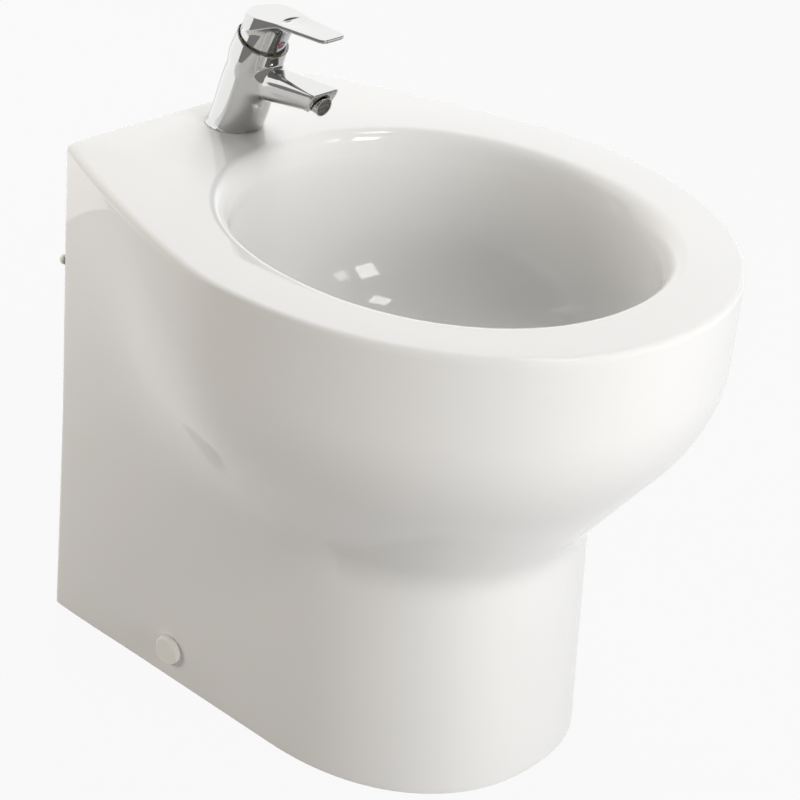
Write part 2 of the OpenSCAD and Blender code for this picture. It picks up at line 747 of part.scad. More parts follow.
module turning_yoke() color(grey_plastic) at_head() difference() {
    union() {
        round_from(yoke_r, roof - 1, 3);
        round_from(cavity_r - 0.3, roof - 1.1, roof - 0.1);
        intersection() {
            round_from(cavity_r - 0.3, disc_top + 0.1, roof - 0.5);
            for (s = [-1, 1])
                translate([s * (disc_r + 0.2 + 2), 0, (disc_top + roof) / 2])
                    cube([4, 16, 8], center = true);
        }
    }
    // Slot that the stem swings in, with a wider mouth above
    translate([-3, -6.4, roof - 2])
        cube([6, 12.8, 14]);
    translate([-stem_w / 2 - 0.25, -6.6, -5])
        cube([stem_w + 0.5, 13.2, 9]);
    rotate([0, 90, 0])
        cylinder(r = pin_r + 0.02, h = 2 * yoke_r + 2, center = true, $fn = 48);
}
module pivot_pin() color(steel) at_head()
    rotate([0, 90, 0])
        cylinder(r = pin_r, h = 2 * yoke_r - 1, center = true, $fn = 48);
stem_l = 14;
module at_stem() {
    at_head()
        rotate([half_lift, 0, 0])
            children();
}
module lever_stem() color(brass) at_stem() difference() {
    union() {
        translate([-stem_w / 2, -stem_w / 2, 3.2])
            cube([stem_w, stem_w, stem_l - 3.2]);
        rotate([0, 90, 0])
            cylinder(r = 3.6, h = stem_w, center = true, $fn = 48);
        round_from(1.8, -arm, 4);
        translate([-2.4, -2.4, 2])
            cube([4.8, 4.8, 3]);
        translate([0, 0, -arm])
            sphere(r = ball_end_r, $fn = 48);
    }
    rotate([0, 90, 0])
        cylinder(r = pin_r + run, h = stem_w + 2, center = true, $fn = 48);
}
module cartridge_nut() color(brass) at_head() difference() {
    round_from(housing_r + 1.5, shoulder, nut_top);
    round_from(neck_r + fit, shoulder - eps, nut_top + eps);
    for (a = [0, 90])
        rotate([0, 0, a])
            translate([-20, -1.2, nut_top - 1.4])
                cube([40, 2.4, 3]);
}

// Lever: a hollow skirt on the ball seat, closed by a wide flat blade
lever_top_z = body_h + lever_top_up;
crown_y = pivot_y - (lever_top_z - pivot_z) * tan(head_lean);
tip_y = tap_y - blade_reach;
socket_r = 16;
boss_w = 12.5;
screw_w = 9;
marker_r = 3;
marker_t = 1.5;
set_r = 2.5;
module lever() color(chrome) difference() {
    union() {
        intersection() {
            at_head()
                round_from(skirt_r, -pivot_rise, 40);
            translate([-50, tap_y - 120, 0])
                cube([100, 160, lever_top_z]);
            union() {
                translate([0, pivot_y, pivot_z])
                    sphere(r = ball_seat, $fn = 96);
                at_head()
                    round_from(40, -pivot_rise, 60);
            }
        }
        translate([0, 0, lever_top_z - blade_t])
            linear_extrude(blade_t)
                blade_outline();
    }
    difference() {
        translate([0, pivot_y, pivot_z])
            sphere(r = ball_seat - skirt_t, $fn = 96);
        at_stem()
            translate([-boss_w / 2, -boss_w / 2, 5.8])
                cube([boss_w, boss_w, 30]);
    }
    at_stem() {
        translate([-stem_w / 2 - fit, -stem_w / 2 - fit, 0])
            cube([stem_w + 2 * fit, stem_w + 2 * fit, stem_l + 0.3]);
        translate([0, 0, screw_w])
            rotate([90, 0, 0])
                cylinder(r = set_r + fit, h = 12, $fn = 48);
        translate([0, -11.8, screw_w])
            rotate([90, 0, 0])
                cylinder(r = marker_r + fit, h = 12, $fn = 48);
    }
}
// The blade seen from above: the skirt's crown, then straight sides to a rounded tip
tip_r = 4;
module blade_outline() {
    half = blade_tip_w / 2;
    union() {
        polygon([[-skirt_r + 1, crown_y + 2], [-half, tip_y + tip_r], [-half + tip_r, tip_y],
            [half - tip_r, tip_y], [half, tip_y + tip_r], [skirt_r - 1, crown_y + 2]]);
        for (s = [-1, 1])
            translate([s * (half - tip_r), tip_y + tip_r])
                circle(r = tip_r, $fn = 48);
        translate([0, crown_y + 1])
            circle(r = skirt_r - 0.6, $fn = 96);
    }
}
module lever_screw() color(steel) at_stem()
    translate([0, -stem_w / 2, screw_w])
        rotate([90, 0, 0])
            difference() {
                cylinder(r = set_r, h = 7, $fn = 48);
                translate([0, 0, 4.5])
                    cylinder(r = 1.2, h = 4, $fn = 6);
            }
// Split round marker over the set screw, one half for hot and one for cold
marker_out = (skirt_r - 0.2 - screw_w * sin(half_lift)) / cos(half_lift);
module marker(s) {
    at_stem()
        translate([0, -marker_out, screw_w])
            rotate([-90, 0, 0])
                intersection() {
                    cylinder(r = marker_r, h = marker_t, $fn = 48);
                    translate([s > 0 ? 0.02 : -10.02, -5, -1])
                        cube([10, 10, 5]);
                }
}
module hot_marker() color([0.75, 0.1, 0.1]) marker(-1);
module cold_marker() color([0.1, 0.2, 0.6]) marker(1);

// Nozzle: a ball held by a screwed ring, with a cup and an aerator in front
ball_r = ball_d / 2;
cup_from = 4.4;
cup_to = 10.4;
jet_r = 2.6;
aerator_r = 6.2;
module nozzle_ring() color(chrome) at_ball() difference() {
    translate([0, 0, 2 - ring_l])
        cylinder(r = ring_out, h = ring_l, $fn = 96);
    sphere(r = ball_r + run, $fn = 96);
    translate([0, 0, -ring_l])
        cylinder(r = ball_r - 0.6, h = ring_l, $fn = 64);
}
module ball_nozzle() color(chrome) at_ball() difference() {
    union() {
        sphere(r = ball_r, $fn = 96);
        translate([0, 0, 3.2])
            cylinder(r = 5.2, h = cup_from - 3.2 + 0.4, $fn = 64);
        translate([0, 0, cup_from])
            cylinder(d = cup_d, h = cup_to - cup_from, $fn = 96);
    }
    translate([0, 0, -ball_r - eps])
        cylinder(r = jet_r, h = ball_r + cup_to, $fn = 48);
    translate([0, 0, cup_from + 1])
        cylinder(r = aerator_r + fit, h = cup_to, $fn = 96);
}
module aerator() color(rubber) at_ball()
    translate([0, 0, cup_from + 1])
        difference() {
            cylinder(r = aerator_r, h = cup_to - cup_from - 1.8, $fn = 96);
            for (a = [0 : 60 : 300])
                rotate([0, 0, a])
                    translate([3.6, 0, -eps])
                        cylinder(r = 1, h = 10, $fn = 24);
            translate([0, 0, -eps])
                cylinder(r = 1.4, h = 10, $fn = 24);
        }

// Waste: a flanged tail clamped through the drain hole, cut to length above the trap
pipe_r = outlet_d / 2;
pipe_t = 2;
socket_t = 4;
nut_room = 12;
tail_low = outlet_up + pipe_r + socket_t + nut_room;
tail_r = tail_d / 2;
tail_t = 2.6;
tail_bore = tail_r - tail_t;
flange_t = 2.4;
flange_seal_t = recess_d - flange_t + 0.2;
flange_z = drain_z - recess_d + flange_seal_t;
boss_low = drain_z - boss_t;
latch_r = 6;
cross_deep = 12;
cross_t = 4;
cross_top = drain_z - cross_deep;
cross_low = cross_top - cross_t;
cross_hole_r = 4.3;
cross_hole_at = (tail_bore + latch_r) / 2 + 0.9;
spill_r = 3;
spill_gap = 9;
spill_z = drain_z - bowl_t - duct_gap / 2 - 5;
module at_drain() {
    translate([0, drain_y, 0])
        children();
}
module waste_flange() color(chrome) at_drain() difference() {
    union() {
        round_from(flange_d / 2, flange_z, flange_z + flange_t);
        round_from(tail_r, tail_low, flange_z + 0.1);
    }
    round_from(tail_bore, cross_top, drain_z + recess_d);
    round_from(tail_bore, tail_low - eps, cross_low);
    // Four openings round the cross that holds the latch
    for (a = [45 : 90 : 315])
        rotate([0, 0, a])
            translate([cross_hole_at, 0, cross_low - eps])
                cylinder(r = cross_hole_r, h = cross_top - cross_low + 2 * eps, $fn = 32);
    round_from(latch_r + fit, cross_low - eps, cross_top + eps);
    // Ways in from the overflow duct
    for (s = [-1, 0, 1])
        translate([s * spill_gap, -tail_r, spill_z])
            rotate([90, 0, 0])
                cylinder(r = spill_r, h = 4 * socket_t, center = true, $fn = 32);
}
gasket_r = drain_d / 2 + 10;
gasket_t = 5;
washer_t = 2;
tail_nut_t = 10;
tail_nut_w = tail_d + 13;
module flange_seal() color(rubber) at_drain()
    ring(flange_d / 2 - 1, drain_d / 2 + 1, flange_seal_t, drain_z - recess_d);
module tail_gasket() color(rubber) at_drain()
    ring(gasket_r, tail_r + fit, gasket_t, boss_low - gasket_t);
module tail_washer() color(white_plastic) at_drain()
    ring(gasket_r - 1, tail_r + fit, washer_t, boss_low - gasket_t - washer_t);
module tail_nut() color(brass) at_drain()
    hex_nut(tail_nut_w, tail_r + fit, tail_nut_t, boss_low - gasket_t - washer_t - tail_nut_t);

// Press-to-close plug on its latch
plug_travel = 8;
plug_r = tail_bore - 0.4;
plug_t = 4;
plug_dome = 60;
plug_step = 4;
stem_r = 3;
plug_stem_deep = 33;
plug_sunk = 1;
latch_l = 34;
latch_t = 2;
plug_stem_low = drain_z - plug_stem_deep;
plug_seat = drain_z - plug_sunk;
plug_low = plug_seat + plug_travel;
latch_top = cross_top + latch_t;
latch_low = latch_top - latch_l;
module plug_latch() color(grey_plastic) at_drain() difference() {
    union() {
        round_from(latch_r, latch_low, latch_top);
        round_from(latch_r + latch_t, cross_top, latch_top);
    }
    round_from(stem_r + run, latch_low + latch_t, latch_top + eps);
}
module waste_plug() color(chrome) at_drain() union() {
    translate([0, 0, plug_low])
        intersection() {
            cylinder(r = plug_r, h = plug_t, $fn = 96);
            translate([0, 0, plug_t - plug_dome])
                sphere(r = plug_dome, $fn = 128);
        }
    translate([0, 0, plug_low - 2])
        cylinder(r = plug_r - plug_step, h = 2.5, $fn = 64);
    round_from(stem_r, plug_stem_low, plug_low);
}
plug_seal_t = 1.8;
module plug_seal() color(rubber) at_drain()
    ring(plug_r - 0.3, plug_r - plug_step + fit, plug_seal_t, plug_low - plug_seal_t);

// Bottle trap: an inlet socket with a nut, a bottle round the dip tube, and a cup screwed in below
bottle_r = bottle_d / 2;
trap_t = 3;
inlet_t = 4;
inlet_nut_h = 20;
inlet_nut_t = 3;
inlet_lip = 6;
tail_in_trap = 16;
trap_top = tail_low + tail_in_trap;
inlet_top = trap_top - inlet_lip - trap_t;
socket_low = tail_low - trap_t;
dip_r = 16;
dip_t = 2.5;
seal_depth = 50;
dip_low = outlet_up - pipe_r - seal_depth;
bottle_drop = 30;
cup_room = 20;
trap_low = outlet_up - bottle_drop;
cup_low = dip_low - cup_room;
cup_r = bottle_r - trap_t - 0.3;
cup_bore = cup_r - 2.5;
cup_neck = 8;
cup_grip = 12;
cup_seal_t = 2;
arm_out = 30;
arm_l = bottle_r + arm_out;
module trap_inlet_nut() color(white_plastic) at_drain() difference() {
    round_from(tail_r + inlet_t + inlet_nut_t, trap_top - inlet_nut_h, trap_top);
    round_from(tail_r + fit, trap_top - inlet_lip, trap_top + eps);
    round_from(tail_r + inlet_t + fit, trap_top - inlet_nut_h - eps, trap_top - inlet_lip);
}
module trap_inlet_washer() color(rubber) at_drain()
    ring(tail_r + inlet_t - 0.2, tail_r + fit, trap_t, inlet_top);
module along_pipe() {
    translate([0, 0, outlet_up])
        rotate([-90, 0, 0])
            children();
}
module trap_body() color(white_plastic) at_drain() difference() {
    union() {
        round_from(tail_r + inlet_t, socket_low - 4, inlet_top);
        round_from(bottle_r, trap_low, socket_low - 2);
        round_from(dip_r, dip_low, trap_low + eps);
        along_pipe()
            cylinder(r = pipe_r + socket_t, h = arm_l, $fn = 96);
    }
    round_from(tail_r + 0.6, socket_low, trap_top);
    round_from(dip_r - dip_t, dip_low - eps, trap_top);
    difference() {
        round_from(bottle_r - trap_t, trap_low - eps, socket_low - 5);
        round_from(dip_r, dip_low - 2 * eps, socket_low);
    }
    difference() {
        along_pipe()
            cylinder(r = pipe_r - dip_t, h = arm_l + eps, $fn = 96);
        round_from(dip_r, dip_low - 2 * eps, socket_low);
    }
    along_pipe()
        translate([0, 0, arm_l - pipe_in - eps])
            cylinder(r = pipe_r + 0.6, h = pipe_in + 2 * eps, $fn = 96);
}
module trap_cup() color(white_plastic) at_drain() difference() {
    union() {
        round_from(bottle_r + 2, cup_low + cup_grip, trap_low - cup_seal_t);
        round_from(cup_r, trap_low - cup_seal_t - eps, trap_low + cup_neck);
        round_from(bottle_r - 2, cup_low, cup_low + cup_grip + eps);
    }
    round_from(cup_bore, cup_low + trap_t, trap_low + cup_neck + eps);
}
module trap_cup_seal() color(rubber) at_drain()
    ring(bottle_r - 0.2, cup_r + 0.2, cup_seal_t, trap_low - cup_seal_t);

// The pipe to the wall, held in the trap's arm by a nut, with a bead that stops the wall's socket
pipe_in = 19;
pipe_from = arm_l - pipe_in;
outlet_nut_h = 18;
outlet_nut_t = 4;
outlet_nut_on = 10;
outlet_nut_from = arm_l - outlet_nut_on;
outlet_washer_t = 3;
spigot_l = 60;
bead_t = 3;
bead_h = 1.5;
module trap_outlet_nut() color(white_plastic) at_drain() along_pipe()
    translate([0, 0, outlet_nut_from])
        difference() {
            cylinder(r = pipe_r + socket_t + outlet_nut_t, h = outlet_nut_h, $fn = 96);
            translate([0, 0, -eps])
                cylinder(r = pipe_r + socket_t + fit,
                    h = arm_l + outlet_washer_t - outlet_nut_from + fit + eps, $fn = 96);
            cylinder(r = pipe_r + fit, h = outlet_nut_h + eps, $fn = 96);
        }
module trap_outlet_washer() color(rubber) at_drain() along_pipe()
    ring(pipe_r + socket_t - 0.2, pipe_r + fit, outlet_washer_t, arm_l);
module outlet_pipe() color(white_plastic) at_drain() along_pipe() difference() {
    union() {
        round_from(pipe_r, pipe_from, drain_back);
        round_from(pipe_r + bead_h, drain_back - spigot_l - bead_t, drain_back - spigot_l);
    }
    round_from(pipe_r - pipe_t, pipe_from - eps, drain_back + eps);
}

ceramic_body();
ceramic_deck();
ceramic_bowl();
floor_bracket_left();
floor_bracket_right();
side_screws();
screw_bushes();
screw_caps();
wall_pads();
tap_body();
tap_base_seal();
fixing_stud();
fixing_pad();
fixing_plate();
fixing_nut();
cartridge_housing();
fixed_disc();
moving_disc();
disc_carrier();
turning_yoke();
lever_stem();
pivot_pin();
cartridge_nut();
lever();
lever_screw();
hot_marker();
cold_marker();
nozzle_ring();
ball_nozzle();
aerator();
waste_flange();
flange_seal();
tail_gasket();
tail_washer();
tail_nut();
waste_plug();
plug_seal();
plug_latch();
trap_inlet_nut();
trap_inlet_washer();
trap_body();
trap_cup();
trap_cup_seal();
trap_outlet_nut();
trap_outlet_washer();
outlet_pipe();
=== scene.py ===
"""A floor-standing bidet of white vitreous china with a chrome single-lever mixer tap.

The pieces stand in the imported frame, in metres: +X to the right seen from the front, +Y to the
wall, +Z up. Each section makes one piece, or one group of like pieces, in the order of assembly.
"""

import bmesh
import bpy
import numpy as np
from mathutils import Matrix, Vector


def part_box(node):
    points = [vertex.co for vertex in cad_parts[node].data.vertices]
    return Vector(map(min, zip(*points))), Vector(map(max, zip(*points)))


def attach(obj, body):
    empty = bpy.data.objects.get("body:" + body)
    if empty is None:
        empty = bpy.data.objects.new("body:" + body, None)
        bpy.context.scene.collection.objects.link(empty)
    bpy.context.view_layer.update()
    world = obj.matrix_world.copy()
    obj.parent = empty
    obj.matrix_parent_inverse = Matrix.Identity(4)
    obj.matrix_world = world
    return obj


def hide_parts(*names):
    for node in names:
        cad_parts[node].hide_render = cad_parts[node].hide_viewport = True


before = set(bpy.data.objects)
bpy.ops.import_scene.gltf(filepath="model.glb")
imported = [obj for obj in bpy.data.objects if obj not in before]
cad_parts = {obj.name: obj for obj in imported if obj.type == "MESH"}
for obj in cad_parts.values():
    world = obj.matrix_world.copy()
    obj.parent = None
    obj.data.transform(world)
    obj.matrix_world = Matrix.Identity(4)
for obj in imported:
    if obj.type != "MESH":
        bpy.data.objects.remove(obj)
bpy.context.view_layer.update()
mm = 0.001

# Ceramic shell. The body is one hollow casting of vitreous china: slip sets in a plaster mould,
# the seams are sponged away, and the whole of it is sprayed with an opaque white glaze and fired.
# The bowl hangs from the deck inside the outer shell, and the back is left open for the pipes.
deck_low, deck_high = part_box("ceramic_deck")
rim_half, wall_y, deck_z = deck_high
rim_front = wall_y - deck_low[1]
rim_widest = 235.4 * mm
rim_wall_half = 124 * mm
rim_roll = 5 * mm
side_turn_in, side_hook = 0.17, 0.17
rim_bend, foot_bend, opening_bend, bowl_bend = 2.08, 2.22, 2.1, 2.4
foot_half = 126.3 * mm
foot_front = 388.8 * mm
foot_straight = 240 * mm
foot_draft = 0.064
side_draft = 0.3 * foot_draft
flare_low, flare_high, flare_wall, flare_spread = 174 * mm, 291 * mm, 75 * mm, 208 * mm
flare_turn = 308 * mm
low_bend, high_bend, soft_low, soft_more, soft_bend, soft_high = 1.4, 3.3, 0.12, 0.45, 0.5, 0.3
shell_t, deck_t, bowl_t = 11 * mm, 12 * mm, 11 * mm
corner_r = 5 * mm

# Stations round each ring: the front half, then the right side, a rounded corner, the wall side,
# a rounded corner and the left side.
n_front, n_side, n_corner, n_wall = 176, 54, 7, 36
side_share = np.linspace(0, 1 - corner_r / rim_widest, n_side + 1)[1:]
wall_share = np.linspace(1, -1, n_wall) * (1 - corner_r / rim_wall_half)
n_behind = 2 * (n_side + n_corner) + n_wall
n_ring = n_front + 1 + n_behind
station_turn = np.concatenate([np.linspace(0, np.pi, n_front + 1), np.zeros(n_behind)])
in_front, on_side, in_corner = np.zeros(n_front + 1), np.ones(n_side), np.ones(n_corner)
station_side = np.concatenate(
    [in_front, side_share, in_corner, np.ones(n_wall), in_corner, side_share[::-1]]
)
station_across = np.concatenate([in_front, on_side, in_corner, wall_share, -in_corner, -on_side])
station = np.arange(n_ring)
on_front = station <= n_front
corner_starts = (n_front + 1 + n_side, n_front + 1 + n_side + n_corner + n_wall)


def signed_power(value, bend):
    """A superellipse's coordinate: the size of the value to the power 2 / bend, with its sign."""
    return np.sign(value) * np.abs(value) ** (2 / bend)


def joined(front_x, front_y, side_half, side_y, wall_half, wall_line):
    """One outline from a front curve, a half-width and a place behind it, and the wall side."""
    beside = station_side < 1
    x = np.where(on_front, front_x, station_across * np.where(beside, side_half, wall_half))
    return x, np.where(on_front, front_y, np.where(beside, side_y, wall_line))


def rim_outline(inset):
    """The rim seen from above: half a superellipse, then sides that bow in to a set width."""
    half, front = rim_half - inset, rim_front - rim_widest - inset
    centre = wall_y - rim_widest
    bow = np.sqrt(station_side**2 + side_turn_in**2) - side_turn_in
    bow = bow / (np.sqrt(1 + side_turn_in**2) - side_turn_in)
    bow = bow * (1 - side_hook) + side_hook * station_side**3
    return joined(
        -half * signed_power(np.cos(station_turn), rim_bend),
        centre - front * signed_power(np.sin(station_turn), rim_bend),
        half - (half - rim_wall_half + inset) * bow,
        centre + station_side * (rim_widest - inset),
        rim_wall_half - inset,
        wall_y - inset,
    )


def foot_outline(inset, z):
    """The foot seen from above: half a superellipse that leans back with height, then straight."""
    height = np.minimum(z, flare_low)
    half = foot_half - inset - side_draft * height
    front = foot_front - foot_straight - inset - foot_draft * height
    centre = wall_y - foot_straight
    return joined(
        -half * signed_power(np.cos(station_turn), foot_bend),
        centre - front * signed_power(np.sin(station_turn), foot_bend),
        half,
        centre + station_side * (foot_straight - inset),
        half,
        wall_y - inset,
    )


def soft_corner(u, r):
    """Nothing below -r, u itself above r, and a parabola that joins the two between."""
    return np.where(u < -r, 0, np.where(u > r, u, (u + r) ** 2 / (4 * r)))


def flare_share(z):
    """How much of the rim is in the section at height z, from none to all of it.

    It starts lower and ends higher towards the wall.
    """
    back = rim_outline(np.zeros((1, 1)))[1] - wall_y + flare_turn
    side = np.clip(back / flare_turn, 0, 1)
    low = flare_low - (flare_low - flare_wall) * side**low_bend
    high = flare_high + flare_spread * side**high_bend
    soft = soft_low + soft_more * side**soft_bend

    def ramp(u):
        return soft_corner(u, soft) - soft_corner(u - 1, soft_high)

    return np.clip(ramp((z - low) / (high - low)) / ramp((deck_z - low) / (high - low)), 0, 1)


def with_round_corners(x, y):
    """Each sharp corner at the wall becomes a parabola between the stations beside it."""
    t = np.arange(1, n_corner + 1) / (n_corner + 1)
    for start in corner_starts:
        end = start + n_corner
        for line in (x, y):
            corner = line[:, start : start + 1].copy()
            before, after = line[:, start - 1 : start], line[:, end : end + 1]
            line[:, start:end] = (1 - t) ** 2 * before + 2 * t * (1 - t) * corner + t**2 * after
    return x, y


def shell_rings(heights, inset):
    """Rings of the outer shell, drawn in by an inset, as an array of ring, station and axis."""
    z = np.broadcast_to(np.reshape(heights, (-1, 1)), (len(heights), n_ring))
    g = np.reshape(np.broadcast_to(inset, len(heights)), (-1, 1))
    share = flare_share(z)
    foot, rim = foot_outline(g, z), rim_outline(g)
    x, y = with_round_corners(*(a * (1 - share) + b * share for a, b in zip(foot, rim)))
    return np.stack([x, y, z], axis=2)


# The opening in the deck and the bowl below it. A crease runs round the opening, a shoulder falls
# from it, and the wall rolls over into a bowl that closes towards the drain.
open_half, open_front, open_back = 151 * mm, 164.2 * mm, 167.6 * mm
open_y = wall_y - 256.2 * mm
shoulder_w, shoulder_d = 12.3 * mm, 18 * mm
bowl_d = 134 * mm
drain_y = wall_y - 236 * mm
drain_flat, drain_r, recess_r, recess_d, boss_r, boss_t = (s * mm for s in (34, 23, 33, 4, 37, 24))
# A bowl ring's turn at each station: half a turn in front, then a fixed share beside each outer side
side_turn, corner_turn = np.radians([62, 1.5])
right_ends, left_ends = ((start - 1, start + n_corner) for start in corner_starts)
turn_stations = [n_front, *right_ends, *left_ends, n_ring]
turns = [0, side_turn, side_turn + corner_turn, np.pi - side_turn - corner_turn, np.pi - side_turn, np.pi]
bowl_turn = np.where(on_front, station_turn, np.interp(station, turn_stations, np.pi + np.array(turns)))


def oval(inset):
    """The opening's outline: a superellipse, a little longer behind than in front.

    The inset is one number, one for each ring, or one for each ring and station.
    """
    inset = np.reshape(inset, (np.shape(inset) or (1,))[0:1] + (-1,))
    reach = np.where(bowl_turn <= np.pi, open_front, open_back) - inset
    x = -(open_half - inset) * signed_power(np.cos(bowl_turn), opening_bend)
    return x, open_y - reach * signed_power(np.sin(bowl_turn), opening_bend)


def rings_at(x, y, z):
    """Rings from flat outlines, each at one height or with a height for each station."""
    return np.stack([x, y, np.broadcast_to(np.reshape(z, (len(x), -1)), x.shape)], axis=2)


def bowl_rings(angle, grow):
    """The bowl's wall at an angle from 0 at the shoulder to a quarter turn at the drain."""
    angle = np.reshape(angle, (-1, 1))
    out = np.abs(np.cos(angle)) ** (2 / bowl_bend)
    x, y = oval(shoulder_w - grow)
    x = x * out - drain_flat * np.cos(bowl_turn) * (1 - out)
    y = y * out + (drain_y - drain_flat * np.sin(bowl_turn)) * (1 - out)
    drop = (bowl_d - shoulder_d + grow) * np.sin(angle) ** (2 / bowl_bend)
    return rings_at(x, y, deck_z - shoulder_d - drop)


def round_rings(radius, z):
    """Circles round the drain's axis."""
    radius = np.reshape(radius, (-1, 1))
    return rings_at(-radius * np.cos(bowl_turn), drain_y - radius * np.sin(bowl_turn), z)


# The skin's rings, from the drain up the bowl, over the shoulder and the deck to the rim, and down
bowl_floor = deck_z - bowl_d
recess_edge = 0.6 * mm
bowl_wall = bowl_rings(np.radians(np.linspace(88, 0, 44)), 0)
# The share of the shoulder's width, from the wall's top to just outside the crease
share = np.linspace(-0.25, 1, 22)[::-1]
fall = 0.35 * soft_corner(share, 0.22) + 0.65 * np.maximum(share, 0) ** 3
shoulder = rings_at(*oval(shoulder_w * share), deck_z - shoulder_d * fall)
skin = np.concatenate([round_rings([recess_r + recess_edge], [bowl_floor]), bowl_wall, shoulder])
arc = np.linspace(0, np.pi / 2, 7)
rim_edge = [
    rings_at(
        *with_round_corners(*rim_outline(np.array([[rim_roll * (1 - np.cos(a))]]))),
        [deck_z - rim_roll * (1 - np.sin(a))],
    )
    for a in arc[::-1]
]
edge_r = 1.5 * mm
outer = shell_rings(np.linspace(deck_z - rim_roll - 2 * mm, edge_r, 90), 0)
toe = shell_rings(edge_r * (1 - np.sin(arc)), edge_r * (1 - np.cos(arc)))
inner = shell_rings(np.concatenate([[0], np.linspace(1 * mm, deck_z - deck_t, 40)]), shell_t)
# The deck's underside meets the bowl's in a chamfer
under_cut = 10 * mm
under = [
    rings_at(*oval(shoulder_w - bowl_t - under_cut), [deck_z - deck_t]),
    rings_at(*oval(shoulder_w - bowl_t), [deck_z - deck_t - under_cut]),
]
# The overflow duct is a ridge down the front of the bowl's underside
duct_half, duct_proud, duct_side = 19 * mm, 15 * mm, 5 * mm
underside_half = 136 * mm
from_middle = underside_half * np.abs(np.cos(bowl_turn))
duct = duct_proud * np.clip((duct_half + duct_side - from_middle) / duct_side, 0, 1) * (bowl_turn <= np.pi)
down_wall = np.radians(np.linspace(6, 78, 22))
bowl_back = bowl_rings(down_wall, bowl_t + np.broadcast_to(duct, (len(down_wall), n_ring)))
boss = round_rings(
    [boss_r, boss_r, drain_r, drain_r, recess_r, recess_r],
    bowl_floor - np.array([bowl_t, boss_t, boss_t, recess_d, recess_d, recess_edge]),
)
rings = np.concatenate([skin, *rim_edge, outer, toe, inner, *under, bowl_back, boss])


def grid_mesh(name, points, closed_rows=False, closed_columns=False):
    """A mesh from an array of points, row by row, whose rows or columns may close on themselves."""
    rows, columns = points.shape[:2]
    index = np.arange(rows * columns).reshape(rows, columns)
    if closed_rows:
        index = np.vstack([index, index[:1]])
    if closed_columns:
        index = np.hstack([index, index[:, :1]])
    faces = np.stack([index[:-1, :-1], index[1:, :-1], index[1:, 1:], index[:-1, 1:]], axis=2)
    mesh = bpy.data.meshes.new(name)
    mesh.from_pydata(points.reshape(-1, 3), [], faces.reshape(-1, 4))
    mesh.shade_smooth()
    return mesh


def added(name, data):
    """A new object in the scene, for a mesh, a lamp or a camera."""
    thing = bpy.data.objects.new(name, data)
    bpy.context.scene.collection.objects.link(thing)
    return thing


def show(mesh, material, body, replaced):
    """Puts a finished mesh in the scene as a piece that rides on a body, in place of its nodes.

    A mesh that already has its materials is given none.
    """
    piece = added(mesh.name, mesh)
    if material:
        piece.data.materials.append(material)
    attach(piece, body)
    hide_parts(*replaced)


def linear(hex_colour):
    """An sRGB hex colour as the linear red, green, blue and alpha that Blender works in."""
    c = np.array([int(hex_colour[i : i + 2], 16) for i in (0, 2, 4)]) / 255
    return (*np.where(c <= 0.04045, c / 12.92, ((c + 0.055) / 1.055) ** 2.4), 1)


def feed(tree, made, **inputs):
    """Sets the inputs of a shader node, and links those that are given an output.

    An input goes by its name, or by i and its number where several share a name.
    """
    for key, value in inputs.items():
        numbered = key[0] == "i" and key[1:].isdigit()
        socket = made.inputs[int(key[1:]) if numbered else key.replace("_", " ")]
        if isinstance(value, bpy.types.NodeSocket):
            tree.links.new(value, socket)
        else:
            socket.default_value = value


def node(tree, kind, settings=None, **inputs):
    """Adds a shader node, sets its properties and feeds its inputs."""
    made = tree.nodes.new("ShaderNode" + kind)
    for key, value in (settings or {}).items():
        setattr(made, key, value)
    feed(tree, made, **inputs)
    return made


def blend(tree, share, one, other):
    """The colour between two hex colours, at a share that another node gives."""
    mix = node(tree, "Mix", {"data_type": "RGBA"}, Factor=share, i6=linear(one), i7=linear(other))
    return mix.outputs[2]


def finish_material(name):
    """A new material with its Principled shader, ready for that finish's own nodes."""
    material = bpy.data.materials.new(name)
    material.use_nodes = True
    tree = material.node_tree
    return material, tree, tree.nodes["Principled BSDF"], node(tree, "TexCoord").outputs["Object"]


# White sanitary glaze, fired to a mirror. It gives a crisp reflection over a soft white body, with
# the faint waviness that spraying leaves, about 14 mm from crest to crest. Its tint drifts a little
# over the piece, in clouds of which nine go to the metre.
glaze, tree, shader, place = finish_material("sprayed_white_glaze")
cloud = node(tree, "TexNoise", Vector=place, Scale=9.0, Detail=2.0)
tone = blend(tree, cloud.outputs["Fac"], "E5E5E3", "E8E7E5")
orange_peel = node(tree, "TexNoise", Vector=place, Scale=1 / (14 * mm), Detail=1.0)
relief = node(tree, "Bump", Strength=0.035, Distance=0.2 * mm, Height=orange_peel.outputs["Fac"])
feed(tree, shader, Base_Color=tone, Normal=relief.outputs["Normal"], Roughness=0.04, IOR=1.52)

# Unglazed vitreous china, inside and below: a warm off-white with a fine tooth, quite matt, and
# clouded where the slip ran.
raw_clay, tree, shader, place = finish_material("unglazed_fired_china")
cloud = node(tree, "TexNoise", Vector=place, Scale=1 / (60 * mm), Detail=3.0)
tone = blend(tree, cloud.outputs["Fac"], "DDD8CE", "EAE6DD")
tooth = node(tree, "TexNoise", Vector=place, Scale=1 / (0.9 * mm), Detail=4.0)
relief = node(tree, "Bump", Strength=0.25, Distance=0.1 * mm, Height=tooth.outputs["Fac"])
feed(tree, shader, Base_Color=tone, Normal=relief.outputs["Normal"], Roughness=0.75)

